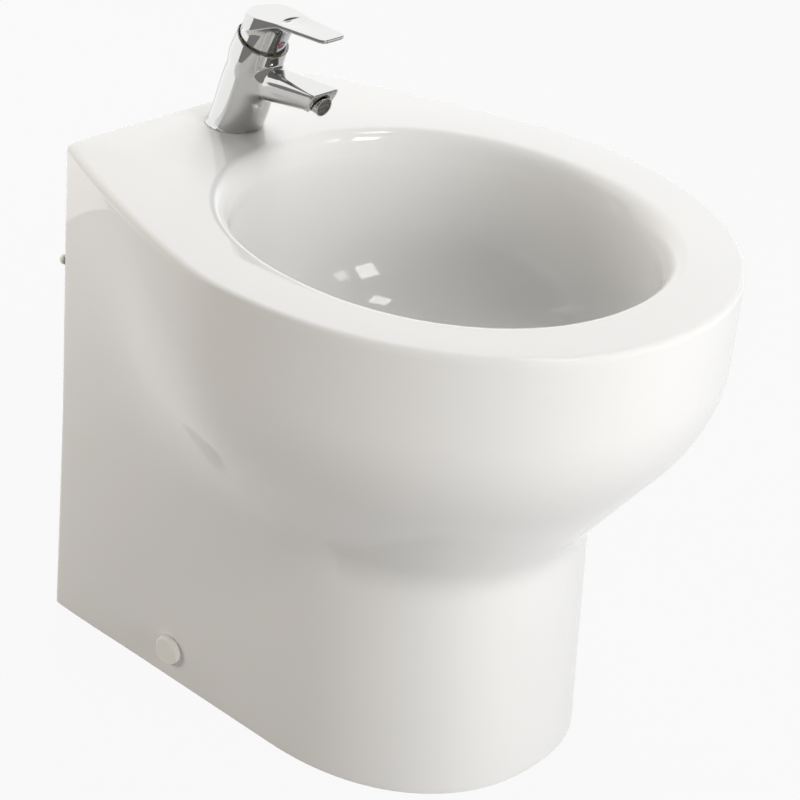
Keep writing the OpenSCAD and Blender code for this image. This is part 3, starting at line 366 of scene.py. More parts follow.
# Openings cut in the wet casting: the arch in the back for the pipes, the tap's hole, a hole in each
# side of the foot for the screws, and the overflow. Each but the overflow has a rounded, glazed edge.
# A cutter's end stands past the casting.
lip_r = 2.5 * mm
lip = np.linspace(0, np.pi / 2, 6)
past = 9 * mm
arch_half, arch_top, arch_r = 99 * mm, 338 * mm, 40 * mm
tap_hole_r, bush_hole_r, overflow_r = 17.5 * mm, 6.5 * mm, 9 * mm
overflow_z = deck_z - 44 * mm
tap_line = wall_y - 44 * mm
bush_low, bush_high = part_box("screw_bushes")


def flared(outline, heights_from, heights_to, place):
    """A cutter's rings along one axis: straight, then out round a lip at its far end, and past it.

    The outline takes a growth and gives a ring, and place puts a ring at a height on the axis.
    """
    growth = np.concatenate([[0, 0], lip_r * (1 - np.cos(lip))[1:], [lip_r]])
    round_lip = heights_to - lip_r * (1 - np.sin(lip))[1:]
    height = np.concatenate([[heights_from, heights_to - lip_r], round_lip, [heights_to + past]])
    return np.stack([place(outline(g), h) for g, h in zip(growth, height)])


def arch_outline(grow):
    """The arch's outline across and up: straight sides from below the floor, and rounded top corners."""
    turn = np.linspace(0, np.pi / 2, 13)
    half, top, r = arch_half + grow, arch_top + grow, arch_r + grow
    x = np.concatenate([half - r + r * np.cos(turn), -(half - r) - r * np.sin(turn)])
    z = np.concatenate([top - r + r * np.sin(turn), top - r + r * np.cos(turn)])
    return np.stack([np.concatenate([[half], x, [-half]]), np.concatenate([[-past], z, [-past]])])


def circle(radius):
    """A round outline of that radius, which grows."""
    turn = np.linspace(0, 2 * np.pi, 48, endpoint=False)
    return lambda grow: (radius + grow) * np.stack([np.cos(turn), np.sin(turn)])


def in_line(origin, across, up, out):
    """Puts a flat outline on an axis: across and up as given, at a height along the way out."""
    across, up, out = (np.array(v, float) for v in (across, up, out))
    return lambda ring, h: np.array(origin) + ring[0][:, None] * across + ring[1][:, None] * up + h * out


def closed_solids(name, stacks):
    """Solids in one mesh, each a stack of like rings with a flat cap on its first and on its last."""
    points, faces, first = [], [], 0
    for stack in stacks:
        index = first + np.arange(stack.shape[0] * stack.shape[1]).reshape(stack.shape[:2])
        turn = np.hstack([index, index[:, :1]])
        sides = np.stack([turn[:-1, :-1], turn[1:, :-1], turn[1:, 1:], turn[:-1, 1:]], axis=2)
        faces += [*sides.reshape(-1, 4).tolist(), index[0].tolist(), index[-1, ::-1].tolist()]
        points.append(stack.reshape(-1, 3))
        first += index.size
    mesh = bpy.data.meshes.new(name)
    mesh.from_pydata(np.concatenate(points), [], faces)
    return mesh


def outward(mesh):
    """Merges the points that lie together and turns each face to point out of its solid."""
    form = bmesh.new()
    form.from_mesh(mesh)
    bmesh.ops.remove_doubles(form, verts=form.verts[:], dist=1e-7)
    bmesh.ops.recalc_face_normals(form, faces=form.faces[:])
    form.to_mesh(mesh)
    form.free()
    return mesh


side_x = foot_half - side_draft * bush_low[2]
bush_y, bush_z = (bush_low[1] + bush_high[1]) / 2, (bush_low[2] + bush_high[2]) / 2
to_wall = in_line((0, 0, 0), (1, 0, 0), (0, 0, 1), (0, 1, 0))
up_at_tap = in_line((0, tap_line, 0), (1, 0, 0), (0, 1, 0), (0, 0, 1))
to_front = in_line((0, 0, overflow_z), (1, 0, 0), (0, 0, 1), (0, -1, 0))
open_foremost = open_front - open_y
overflow_from, overflow_to = open_foremost - 26 * mm, open_foremost + 7 * mm
openings = [
    flared(arch_outline, wall_y - shell_t - 8 * mm, wall_y, to_wall),
    flared(circle(tap_hole_r), deck_z - deck_t - 6 * mm, deck_z, up_at_tap),
    flared(circle(overflow_r), overflow_from, overflow_to, to_front)[:2],
]
for way in (-1, 1):
    outwards = in_line((0, bush_y, bush_z), (0, 1, 0), (0, 0, 1), (way, 0, 0))
    openings.append(flared(circle(bush_hole_r), side_x - shell_t - 6 * mm, side_x, outwards))

body_mesh = grid_mesh("uncut_casting", rings, closed_rows=True, closed_columns=True)
body_mesh.materials.append(glaze)
body_mesh.materials.append(raw_clay)
glazed_rings = len(skin) + len(rim_edge) + len(outer) + len(toe)
raw = np.zeros(len(body_mesh.polygons), int)
raw[glazed_rings * n_ring :] = 1
body_mesh.polygons.foreach_set("material_index", raw)
# The cut itself: the casting less its openings, in a mesh of its own
casting = added("uncut_casting", body_mesh)
cutter = added("openings", outward(closed_solids("openings", openings)))
cut = casting.modifiers.new("openings", "BOOLEAN")
cut.operation, cut.solver, cut.object = "DIFFERENCE", "MANIFOLD", cutter
shell_mesh = bpy.data.meshes.new_from_object(casting.evaluated_get(bpy.context.evaluated_depsgraph_get()))
shell_mesh.name = "ceramic_shell"
for thing in (casting, cutter):
    bpy.data.objects.remove(thing)
shell_mesh.shade_smooth()
shell_mesh.set_sharp_from_angle(angle=np.radians(38))
show(shell_mesh, None, "root", ["ceramic_body", "ceramic_deck", "ceramic_bowl"])

# Tap body. One brass casting, ground and polished, then plated with nickel and bright chrome. A
# leaning pillar, a round head for the cartridge and a spout flow into each other with fillets, so
# the piece is worked out as one field of distances, in millimetres forward of the tap's centre and
# up from the deck, and its skin is the surface where that field is zero.
tap_y = wall_y / mm - 44
deck_up = deck_z / mm
lean = np.radians(25)
ring_forward, ring_up, pivot_rise = 23.5, 73.0, 3.0
pivot_forward = ring_forward + pivot_rise * np.sin(lean)
pivot_up = ring_up + pivot_rise * np.cos(lean)
skirt_r, seat_r, seat_gap = 17.5, 17.755, 0.4
head_r, head_length = 18.45, 17
ball_forward, ball_up, dip = 78.5, 43.5, np.radians(12)
foot_spread, foot_spread_up = 0.7, 1.6


def smooth_max(a, b, r):
    """The larger of two distances, with a fillet of about r where they meet."""
    return np.maximum(a, b) + np.maximum(r - np.abs(a - b), 0) ** 2 / (4 * r)


def smooth_min(a, b, r):
    """The smaller of two distances, with a fillet of about r where they meet."""
    return -smooth_max(-a, -b, r)


def through(heights, values):
    """The one polynomial that runs through the given values."""
    return np.poly1d(np.polyfit(heights, values, len(heights) - 1))


def along_head(forward, up):
    """Distances along the head's leaning axis from the lever's pivot, and forward across it."""
    f, u = forward - pivot_forward, up - pivot_up
    return f * np.sin(lean) + u * np.cos(lean), f * np.cos(lean) - u * np.sin(lean)


def along_nozzle(forward, up):
    """Distances out along the nozzle's dipping axis from its ball, and up across it."""
    f, u = forward - ball_forward, up - ball_up
    return f * np.cos(dip) - u * np.sin(dip), f * np.sin(dip) + u * np.cos(dip)


pillar_up = (0, 19, 30, 50, 73)
pillar_middle = through(pillar_up, (-0.4, 7.0, 10.2, 16.4, 25.0))
pillar_deep = through(pillar_up, (21.4, 22.4, 22.8, 21.3, 18.6))
pillar_wide = through(pillar_up, (21.2, 18.6, 17.9, 18.2, 18.4))
# The spout: its top's height at its root and its fall on the way; its underside's height at its root,
# the run for each unit of its rise, and where it levels out; the rounding of its edges, of which the
# upper ones sharpen towards the tip; its half-width; and the end and the plane of its tip
spout_top, spout_fall, spout_root, spout_run = 54.2, 1.6, 38, 50
under_root, under_slope, under_end, under_tip = 31, 7, 76, 36.14
low_rounding, root_rounding, rounding_lost = 8.5, 9.5, 7.3
root_wide, tip_wider, change_from, change_run = 12.4, 0.8, 36, 48
tip_forward, lip_forward, lip_up, lip_slope = 89.6, 90, 52, np.array([0.863, 0.505])
# Its hollows: the mouth round the nozzle, the ring's socket, the cartridge's chamber, and the two
# ports for the hoses
mouth_r, mouth_from, socket_r, socket_from = 8.6, 1.9, 7.95, -2.7
chamber_r, chamber_end_r, chamber_middle, chamber_half = 14.1, 12.6, -15, 14.6
port_x, port_forward, port_r, port_top = 7, -9, 5, 12


def tap_field(x, y, z):
    """Pillar, head ball and spout joined by fillets, less the lever's seat and the nozzle's socket."""
    forward, up = tap_y - y, z - deck_up
    height = np.clip(up, 0, 80)
    spread = foot_spread * np.exp(-height / foot_spread_up)
    wide, deep = pillar_wide(height) + spread, pillar_deep(height) + spread
    pillar = (np.sqrt((x / wide) ** 2 + ((forward - pillar_middle(height)) / deep) ** 2) - 1) * wide
    on, across = along_head(forward, up)
    head = np.sqrt(x**2 + across**2 + (on - np.clip(on, -head_length, -pivot_rise)) ** 2) - head_r
    run = np.clip((forward - change_from) / change_run, 0, 1)
    top = spout_top - spout_fall * (forward - spout_root) / spout_run
    low = np.where(forward < under_end, under_root + (forward - 40) / under_slope, under_tip)
    half_up, middle = (top - low) / 2, (top + low) / 2
    rounding = np.where(up > middle, root_rounding - rounding_lost * run, low_rounding)
    half_wide = root_wide + tip_wider * run**2
    side_x = np.abs(x) - half_wide + rounding
    side_up = np.abs(up - middle) - half_up + rounding
    corner = np.hypot(np.maximum(side_x, 0), np.maximum(side_up, 0))
    section = corner + np.minimum(np.maximum(side_x, side_up), 0) - rounding
    end = (forward - lip_forward) * lip_slope[0] - (up - lip_up) * lip_slope[1]
    tip = smooth_max(np.abs(x) - half_wide, forward - tip_forward, 3)
    spout = smooth_max(smooth_max(section, end, 1.2), tip, 0.8)
    trunk = smooth_max(smooth_min(pillar, head, 6), on + pivot_rise + 0.25, 0.3)
    solid = smooth_min(trunk, smooth_max(spout, 20 - forward, 2), 5)
    out, over = along_nozzle(forward, up)
    nozzle_across = np.hypot(x, over)
    mouth = smooth_max(nozzle_across - mouth_r, mouth_from - out, 0.5)
    socket = np.maximum(nozzle_across - socket_r, socket_from - out)
    seat = np.sqrt(x**2 + across**2 + on**2) - seat_r - seat_gap
    chamber_wall = np.hypot(x, across) - np.where(on > chamber_middle, chamber_r, chamber_end_r)
    chamber = np.maximum(chamber_wall, np.abs(on - chamber_middle) - chamber_half)
    ports = np.maximum(np.hypot(np.abs(x) - port_x, forward - port_forward) - port_r, up - port_top)
    for hollow in (mouth, socket, seat, chamber, ports):
        solid = smooth_max(solid, -hollow, 0.5)
    return smooth_max(solid, -up, 0.5)


def skin_of(name, field, low, high, step):
    """The surface where a field is zero, in metres.

    Each cell of a cubic grid that the surface crosses gets one point, at the mean of the crossings
    of its edges. Four cells round each crossed edge make a face. The points then slide down the
    field's slope until they lie on the surface, and take their normals from that slope.
    """
    lines = [np.arange(a, b + step, step) for a, b in zip(low, high)]
    value = field(*np.meshgrid(*lines, indexing="ij", sparse=True))
    inside = value < 0
    corners = np.array([[i, j, k] for i in (0, 1) for j in (0, 1) for k in (0, 1)])
    size = np.array(value.shape) - 1
    nx, ny, nz = size
    counted = sum(inside[i : i + nx, j : j + ny, k : k + nz].astype(np.int8) for i, j, k in corners)
    cells = np.argwhere((counted > 0) & (counted < 8))
    number = np.full(size, -1)
    number[tuple(cells.T)] = np.arange(len(cells))
    at_corner = np.stack([value[tuple((cells + c).T)] for c in corners])
    total, crossings = np.zeros((len(cells), 3)), np.zeros(len(cells))
    for a in range(8):
        for b in range(a + 1, 8):
            if np.abs(corners[a] - corners[b]).sum() > 1:
                continue
            crossed = (at_corner[a] < 0) != (at_corner[b] < 0)
            share = at_corner[a] / np.where(crossed, at_corner[a] - at_corner[b], 1)
            total += np.where(crossed[:, None], corners[a] + share[:, None] * (corners[b] - corners[a]), 0)
            crossings += crossed
    points = (cells + total / crossings[:, None]) * step + np.array(low)
    faces = []
    for axis in range(3):
        one, two = (axis + 1) % 3, (axis + 2) % 3
        edge = np.argwhere(np.diff(inside.astype(np.int8), axis=axis) != 0)
        beside = edge[:, [one, two]]
        edge = edge[((beside > 0) & (beside < size[[one, two]])).all(axis=1)]
        back_one, back_two = np.eye(3, dtype=int)[one], np.eye(3, dtype=int)[two]
        around = [edge - back_one - back_two, edge - back_two, edge, edge - back_one]
        quads = np.stack([number[tuple(cell.T)] for cell in around], axis=1)
        faces.append(np.where(inside[tuple(edge.T)][:, None], quads, quads[:, ::-1]))
    probe = 0.02
    for _ in range(4):
        here = field(*points.T)
        ahead, behind = ([field(*(points + way * d).T) for d in probe * np.eye(3)] for way in (1, -1))
        slope = (np.stack(ahead, axis=1) - np.stack(behind, axis=1)) / (2 * probe)
        points -= slope * (np.clip(here, -0.3, 0.3) / np.maximum((slope**2).sum(axis=1), 0.2))[:, None]
    mesh = bpy.data.meshes.new(name)
    mesh.from_pydata(points * mm, [], np.concatenate(faces))
    mesh.shade_smooth()
    mesh.normals_split_custom_set_from_vertices(slope / np.linalg.norm(slope, axis=1)[:, None])
    return mesh


# Bright chrome plate: a neutral white metal at its mirror best, with no grain left to see. A faint
# film, as water leaves it, softens the mirror a little in patches about 6 mm across.
chrome, tree, shader, place = finish_material("polished_chrome_plate")
film = node(tree, "TexNoise", Vector=place, Scale=1 / (6 * mm), Detail=3.0)
haze = node(tree, "MapRange", Value=film.outputs["Fac"], i1=0.35, i2=0.75, i3=0.035, i4=0.075)
feed(tree, shader, Base_Color=linear("C6C6C5"), Metallic=1.0, Roughness=haze.outputs[0])

tap_low, tap_high = (-23, tap_y - 93, deck_up - 1), (23, tap_y + 24, deck_up + 79)
tap_mesh = skin_of("tap_casting", tap_field, tap_low, tap_high, 0.7)
show(tap_mesh, chrome, "root", ["tap_body"])

# Lever. A hollow skirt that slides on the ball seat of the body, closed by a wide flat blade with a
# shallow thumb scoop, die-cast in zinc, polished and chrome-plated. Its stem's socket is cast inside.
lever_top = 94.7
blade_reach = 94.0
tip_half, root_half, taper = 11, 17.2, 66
blade_thin, blade_thicker, thicken_from, thicken_run = 3.2, 7, 36, 32
scoop_deep, scoop_forward, scoop_bow, scoop_fade, scoop_half = 1.5, 47.6, 0.028, 13, 13
half_lift = np.radians(12.5)
stem_half, stem_end, boss_half, boss_from, hollow_r = 3.6, 14.3, 6.25, 5.8, 16.2
marker_on, marker_r, marker_depth = 9, 3.1, 11.8


def lever_field(x, y, z):
    """The skirt and the blade joined by a fillet, less the ball-shaped hollow and the thumb scoop.

    The scoop starts in a steep step along a shallow bow and fades towards the blade's tip and sides.
    """
    forward, up = tap_y - y, z - deck_up
    on, across = along_head(forward, up)
    from_pivot = np.sqrt(x**2 + across**2 + on**2)
    skirt = smooth_max(np.hypot(x, across) - skirt_r, -on - pivot_rise, 0.5)
    back = blade_reach - forward
    half_wide = tip_half + (root_half - tip_half) * np.clip(back / taper, 0, 1)
    thick = blade_thin + blade_thicker * np.clip((back - thicken_from) / thicken_run, 0, 1) ** 2
    outline = smooth_max(smooth_max(np.abs(x) - half_wide, -back, 4.5), 22 - forward, 6)
    past_edge = forward - (scoop_forward + scoop_bow * (x - 0.6) ** 2)
    scoop = scoop_deep * np.exp(-np.maximum(past_edge, 0) / scoop_fade) / (1 + np.exp(-past_edge / 0.35))
    top = lever_top - scoop * np.clip(1 - (x / scoop_half) ** 2, 0, 1) ** 2
    blade = smooth_max(smooth_max(outline, lever_top - thick - up, 1.6), up - top, 0.7)
    solid = smooth_max(smooth_min(skirt, blade, 7), up - top, 0.8)
    stem_on = on * np.cos(half_lift) + across * np.sin(half_lift)
    stem_across = across * np.cos(half_lift) - on * np.sin(half_lift)
    square = np.maximum(np.abs(x), np.abs(stem_across))
    boss = np.maximum(square - boss_half, boss_from - stem_on)
    hollow = smooth_max(from_pivot - hollow_r, -boss, 0.6)
    stem_hole = np.maximum(square - stem_half, np.abs(stem_on) - stem_end)
    marker_hole = np.maximum(np.hypot(x, stem_on - marker_on) - marker_r, marker_depth - stem_across)
    for cut in (hollow, stem_hole, marker_hole):
        solid = smooth_max(solid, -cut, 0.4)
    return solid


lever_low, lever_high = (-21, tap_y - 96, deck_up + 60), (21, tap_y, deck_up + 98)
lever_mesh = skin_of("lever_casting", lever_field, lever_low, lever_high, 0.6)
show(lever_mesh, chrome, "lever", ["lever"])


# Swivelling outlet. A screwed ring holds a chromed brass ball in the spout's mouth, and the ball's
# cup holds a black screen that draws air into the jet. All are turned on a lathe.
def eased(corners, radius, closed=False):
    """A profile's corners, each as a parabola that starts and ends a radius away from the corner.

    A point just outside each end of the parabola keeps the flats beside it flat in the shading.
    """
    p = np.array(corners, float)
    radius = np.reshape(np.broadcast_to(radius, len(p)), (-1, 1))
    ways = [np.roll(p, s, axis=0) - p for s in (1, -1)]
    sizes = [np.linalg.norm(w, axis=1, keepdims=True) + 1e-9 for w in ways]
    a, b = (p + w / s * np.minimum(radius, 0.42 * s) for w, s in zip(ways, sizes))
    t = np.linspace(0, 1, 6)[:, None, None]
    curve = (1 - t) ** 2 * a + 2 * t * (1 - t) * p + t**2 * b
    points = np.concatenate([[1.15 * a - 0.15 * p], curve, [1.15 * b - 0.15 * p]]).transpose(1, 0, 2)
    return points.reshape(-1, 2) if closed else np.concatenate([p[:1], points[1:-1].reshape(-1, 2), p[-1:]])


def turned(name, profile, origin, axis, n=96, ribs=0, rib_d=0.0):
    """A profile of radius and height, in millimetres, swung once round an axis.

    Point = origin + height along the axis + radius along a spoke that turns round it. The widest
    face may dip in ribs, as a grip.
    """
    axis = np.array(axis, float) / np.linalg.norm(axis)
    side = np.cross(axis, [0.36, 0.48, 0.8])
    side /= np.linalg.norm(side)
    turn = np.linspace(0, 2 * np.pi, n, endpoint=False)
    spoke = np.cos(turn)[:, None] * side + np.sin(turn)[:, None] * np.cross(axis, side)
    radius, height = profile.T
    dip = np.outer(radius > radius.max() - 0.02, rib_d * (0.5 - 0.5 * np.cos(ribs * turn)))
    reach = (radius[:, None] - dip)[:, :, None] * spoke
    points = np.array(origin) + mm * (height[:, None, None] * axis + reach)
    mesh = outward(grid_mesh(name, points, closed_rows=radius[0] > 0, closed_columns=True))
    mesh.shade_smooth()
    return mesh


ball_middle = np.array([0, tap_y - ball_forward, deck_up + ball_up]) * mm
nozzle_way = (0, -np.cos(dip), -np.sin(dip))
ring_profile = eased([(7.8, -2.6), (7.8, 2), (6.75, 2), (6.85, 0), (6.0, -2.6)], 0.35, closed=True)
ring_mesh = turned("nozzle_ring_turned", ring_profile, ball_middle, nozzle_way)
show(ring_mesh, chrome, "root", ["nozzle_ring"])
ball_r = 6.5
swing = np.radians(np.linspace(-62.5, 30, 24))
ball_arc = ball_r * np.stack([np.cos(swing), np.sin(swing)], axis=1)
cup = [(5.2, 3.9), (5.2, 4.4), (7.4, 4.4), (7.4, 10.4), (6.35, 10.4), (6.35, 5.4), (3, 5.4), (3, -5.77)]
ball_profile = np.concatenate([ball_arc, eased(cup, 0.4)])
ball_mesh = turned("ball_nozzle_turned", ball_profile, ball_middle, nozzle_way)
show(ball_mesh, chrome, "nozzle", ["ball_nozzle"])

# Its screen is black acetal with a moulded mesh. It gives a dark face of fine squares, 0.9 mm apart, with
# painted shade in each hole.
screen, tree, shader, place = finish_material("moulded_black_screen")
square = {"distance": "CHEBYCHEV"}
squares = node(tree, "TexVoronoi", square, Vector=place, Scale=1 / (0.9 * mm), Randomness=0.0)
holes = node(tree, "MapRange", Value=squares.outputs["Distance"], i1=0.25, i2=0.4)
# The holes are painted near black, darker than the bars between them: painted shade for their depth
tone = blend(tree, holes.outputs[0], "1C1C1C", "565654")
relief = node(tree, "Bump", Strength=0.6, Distance=0.3 * mm, Height=holes.outputs[0])
feed(tree, shader, Base_Color=tone, Normal=relief.outputs["Normal"], Roughness=0.45)
aerator_profile = eased([(0, 9.2), (5.4, 9.2), (5.6, 9.6), (6.2, 9.6), (6.2, 5.4), (0, 5.4)], 0.2)
aerator_mesh = turned("aerator_screen", aerator_profile, ball_middle, nozzle_way)
show(aerator_mesh, screen, "nozzle", ["aerator"])


# Marker. A split button of enamel pressed into the lever's front, red for hot and blue for cold.
# Both are a clean gloss with a little pooling at the rim.
def finished(material, *names):
    """Gives nodes of the frame their finish."""
    for name in names:
        for spot in bpy.data.objects[name].material_slots:
            spot.material = material


for marker, colour, deep in (("hot_marker", "B4232B", "8E1A22"), ("cold_marker", "2A4FA0", "1F3C80")):
    enamel, tree, shader, place = finish_material(marker + "_enamel")
    pool = node(tree, "TexNoise", Vector=place, Scale=1 / (2 * mm), Detail=2.0)
    tone = blend(tree, pool.outputs["Fac"], deep, colour)
    feed(tree, shader, Base_Color=tone, Roughness=0.18)
    finished(enamel, marker)

# Brass, turned from bar: the stud, the nuts and the stem. A warm yellow metal, bright where the tool
# cut, with fine rings and a first brown tarnish.
brass, tree, shader, place = finish_material("turned_brass")
stain = node(tree, "TexNoise", Vector=place, Scale=1 / (9 * mm), Detail=4.0)
tone = blend(tree, stain.outputs["Fac"], "C79E50", "E0BD73")
dull = node(tree, "MapRange", Value=stain.outputs["Fac"], i1=0.3, i2=0.8, i3=0.36, i4=0.2)
cuts = node(tree, "TexWave", {"bands_direction": "Z"}, Vector=place, Scale=1 / (3 * mm), Distortion=0.2)
relief = node(tree, "Bump", Strength=0.08, Distance=0.05 * mm, Height=cuts.outputs["Fac"])
feed(tree, shader, Base_Color=tone, Metallic=1.0, Roughness=dull.outputs[0], Normal=relief.outputs["Normal"])
finished(brass, "fixing_stud", "fixing_nut", "lever_stem", "cartridge_nut", "tail_nut")

# Steel, pressed or drawn, then zinc-plated: the brackets, the screws and the clamp. A cool grey
# metal with the soft spangle of bright zinc.
zinc, tree, shader, place = finish_material("zinc_plated_steel")
spangle = node(tree, "TexVoronoi", Vector=place, Scale=1 / (4 * mm))
tone = blend(tree, spangle.outputs["Distance"], "BFC3C7", "D3D6D8")
dull = node(tree, "MapRange", Value=spangle.outputs["Distance"], i1=0.0, i2=0.8, i3=0.28, i4=0.42)
feed(tree, shader, Base_Color=tone, Metallic=1.0, Roughness=dull.outputs[0])
finished(zinc, "floor_bracket_left", "floor_bracket_right", "side_screws")
finished(zinc, "fixing_plate", "pivot_pin", "lever_screw")

# Black nitrile rubber, moulded: the seals and washers. Almost matt, with a grey bloom.
rubber, tree, shader, place = finish_material("moulded_black_rubber")
bloom = node(tree, "TexNoise", Vector=place, Scale=1 / (7 * mm), Detail=3.0)
tone = blend(tree, bloom.outputs["Fac"], "161616", "2A2A29")
skin_grain = node(tree, "TexNoise", Vector=place, Scale=1 / (0.6 * mm), Detail=2.0)
relief = node(tree, "Bump", Strength=0.15, Distance=0.05 * mm, Height=skin_grain.outputs["Fac"])
feed(tree, shader, Base_Color=tone, Normal=relief.outputs["Normal"], Roughness=0.62)
finished(rubber, "tap_base_seal", "fixing_pad", "flange_seal", "tail_gasket", "plug_seal")
finished(rubber, "trap_inlet_washer", "trap_cup_seal", "trap_outlet_washer")

# Grey acetal, moulded: the bushes, the disc's carrier, the yoke and the plug's latch. A waxy,
# half-matt plastic with faint flow marks.
acetal, tree, shader, place = finish_material("moulded_grey_acetal")
flow = node(tree, "TexNoise", Vector=place, Scale=1 / (12 * mm), Detail=3.0, Distortion=0.6)
tone = blend(tree, flow.outputs["Fac"], "85888C", "94979B")
feed(tree, shader, Base_Color=tone, Roughness=0.38)
finished(acetal, "screw_bushes", "disc_carrier", "turning_yoke", "plug_latch")

# Alumina, pressed, fired and lapped flat: the two discs that meter the water. A cream ceramic with
# a fine grain and a satin face.
alumina, tree, shader, place = finish_material("lapped_alumina")
grain = node(tree, "TexNoise", Vector=place, Scale=1 / (0.5 * mm), Detail=3.0)
tone = blend(tree, grain.outputs["Fac"], "DDD7CA", "EAE5DA")
feed(tree, shader, Base_Color=tone, Roughness=0.22)
finished(alumina, "fixed_disc", "moving_disc")

# Waste. A chromed brass flange with its tail goes through the drain, clamped from below, and a
# domed plug closes it and clicks down on a latch.
drain_at = (0, drain_y, 0)
flange_low, flange_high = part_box("waste_flange")
top, tail_end = flange_high[2] / mm, flange_low[2] / mm
tail_bore, tail_out, flange_r = 18.3, 20.9, 31.5
flange = [(tail_bore, top - 1.6), (19.9, top), (29.5, top), (flange_r, top - 1.3), (flange_r, top - 2.4)]
flange += [(tail_out, top - 2.4), (tail_out, tail_end), (tail_bore, tail_end)]
flange_mesh = turned("waste_flange_turned", eased(flange, 0.5, closed=True), drain_at, (0, 0, 1), 144)
show(flange_mesh, chrome, "root", ["waste_flange"])
plug_low, plug_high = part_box("waste_plug")
top, stem_end = plug_high[2] / mm, plug_low[2] / mm
dome_r, dome_half, plug_r, neck_r, stem_r = 60, 17.2, 17.9, 13.9, 3
out = np.linspace(0, dome_half, 16)
dome = np.stack([out, top - dome_r + np.sqrt(dome_r**2 - out**2)], axis=1)
edge = [tuple(dome[-1]), (plug_r, dome[-1, 1] - 0.4), (plug_r, top - 4), (neck_r, top - 4)]
edge += [(neck_r, top - 6), (stem_r, top - 6), (stem_r, stem_end), (0, stem_end)]
plug_profile = np.concatenate([dome, eased(edge, 0.5)[1:]])
plug_mesh = turned("waste_plug_turned", plug_profile, drain_at, (0, 0, 1), 120)
show(plug_mesh, chrome, "plug", ["waste_plug"])

# White polypropylene, moulded: the trap, the pipe, the cartridge's housing, the caps and the pads. A
# warm white with a half gloss, faint flow marks and a fine grain from the mould.
plastic, tree, shader, place = finish_material("moulded_white_polypropylene")
flow = node(tree, "TexNoise", Vector=place, Scale=1 / (25 * mm), Detail=3.0, Distortion=0.5)
tone = blend(tree, flow.outputs["Fac"], "EBE9E3", "F2F1EC")
spark = node(tree, "TexNoise", Vector=place, Scale=1 / (0.7 * mm), Detail=2.0)
relief = node(tree, "Bump", Strength=0.06, Distance=0.04 * mm, Height=spark.outputs["Fac"])
feed(tree, shader, Base_Color=tone, Normal=relief.outputs["Normal"], Roughness=0.32)
finished(plastic, "cartridge_housing", "tail_washer", "trap_body", "outlet_pipe")

# Trap. Two ribbed nuts grip the tail and the pipe, and a ribbed cup unscrews for cleaning.
nut_low, nut_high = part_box("trap_inlet_nut")
nut_from, nut_to = nut_low[2] / mm, nut_high[2] / mm
nut_r, tail_hole, thread_hole = nut_high[0] / mm, 21.0, 25.0
nut = [(tail_hole, nut_to), (nut_r - 2.5, nut_to), (nut_r, nut_to - 5), (nut_r, nut_from)]
nut += [(thread_hole, nut_from), (thread_hole, nut_to - 6), (tail_hole, nut_to - 6)]
nut_mesh = turned("trap_inlet_nut_ribbed", eased(nut, 0.6, closed=True), drain_at, (0, 0, 1), 240, 30, 0.9)
show(nut_mesh, plastic, "root", ["trap_inlet_nut"])
union_low, union_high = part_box("trap_outlet_nut")
union_r, pipe_hole, thread_hole = union_high[0] / mm, 16.1, 20.1
union_from, union_to = union_low[1] / mm, union_high[1] / mm
pipe_at = (0, 0, (union_low[2] + union_high[2]) / 2)
step = union_from + 13.1
union = [(thread_hole, union_from), (union_r, union_from), (union_r, union_to - 4), (union_r - 2.5, union_to)]
union += [(pipe_hole, union_to), (pipe_hole, step), (thread_hole, step)]
union_profile = eased(union, 0.6, closed=True)
union_mesh = turned("trap_outlet_nut_ribbed", union_profile, pipe_at, (0, 1, 0), 240, 28, 0.9)
show(union_mesh, plastic, "root", ["trap_outlet_nut"])
cup_low, cup_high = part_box("trap_cup")
cup_end, cup_top = cup_low[2] / mm, cup_high[2] / mm
foot_r, cup_r, neck_r, bore_r = 27, 31, 25.7, 23.2
bottle = [(0, cup_end), (foot_r, cup_end), (foot_r, cup_end + 10), (cup_r, cup_end + 15)]
bottle += [(cup_r, cup_top - 10), (neck_r, cup_top - 10), (neck_r, cup_top)]
bottle += [(bore_r, cup_top), (bore_r, cup_end + 3), (0, cup_end + 3)]
cup_mesh = turned("trap_cup_ribbed", eased(bottle, 1.0), drain_at, (0, 0, 1), 240, 24, 1.1)
show(cup_mesh, plastic, "root", ["trap_cup"])

# Cover caps and wall pads. A push-on cap hides each side screw, and a soft bump keeps each back edge
# off the wall. Both are plain mouldings with a rounded rim.
cap_low, cap_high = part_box("screw_caps")
cap_y, cap_z = (cap_low[1] + cap_high[1]) / 2, (cap_low[2] + cap_high[2]) / 2
cap_r, cap_h = (cap_high[2] - cap_low[2]) / 2 / mm, 5.0
rim_inner, inside_r, inside_h = 10.3, 8.6, 3.35
cap = [(0, cap_h), (cap_r, cap_h), (cap_r, 0), (rim_inner, 0), (rim_inner, 0.9)]
cap += [(inside_r, 0.9), (inside_r, inside_h), (0, inside_h)]
cap_profile = eased(cap, [0, 1.9, 0.3, 0.2, 0.2, 0.2, 0.2, 0])
pad_low, pad_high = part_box("wall_pads")
pad_r, pad_h = 4.25, (pad_high[1] - pad_low[1]) / mm
pad_x, pad_z = pad_high[0] - pad_r * mm, (pad_low[2] + pad_high[2]) / 2
pad_profile = eased([(0, pad_h), (pad_r, pad_h), (pad_r, 0), (0, 0)], [0, 1.7, 0.1, 0])
for side, way in (("left", -1), ("right", 1)):
    cap_at = (way * (cap_high[0] - cap_h * mm), cap_y, cap_z)
    cap_mesh = turned("cover_cap_" + side, cap_profile, cap_at, (way, 0, 0), 96)
    show(cap_mesh, plastic, "root", ["screw_caps"])
    pad_mesh = turned("wall_pad_" + side, pad_profile, (way * pad_x, pad_low[1], pad_z), (0, 1, 0), 48)
    show(pad_mesh, plastic, "root", ["wall_pads"])

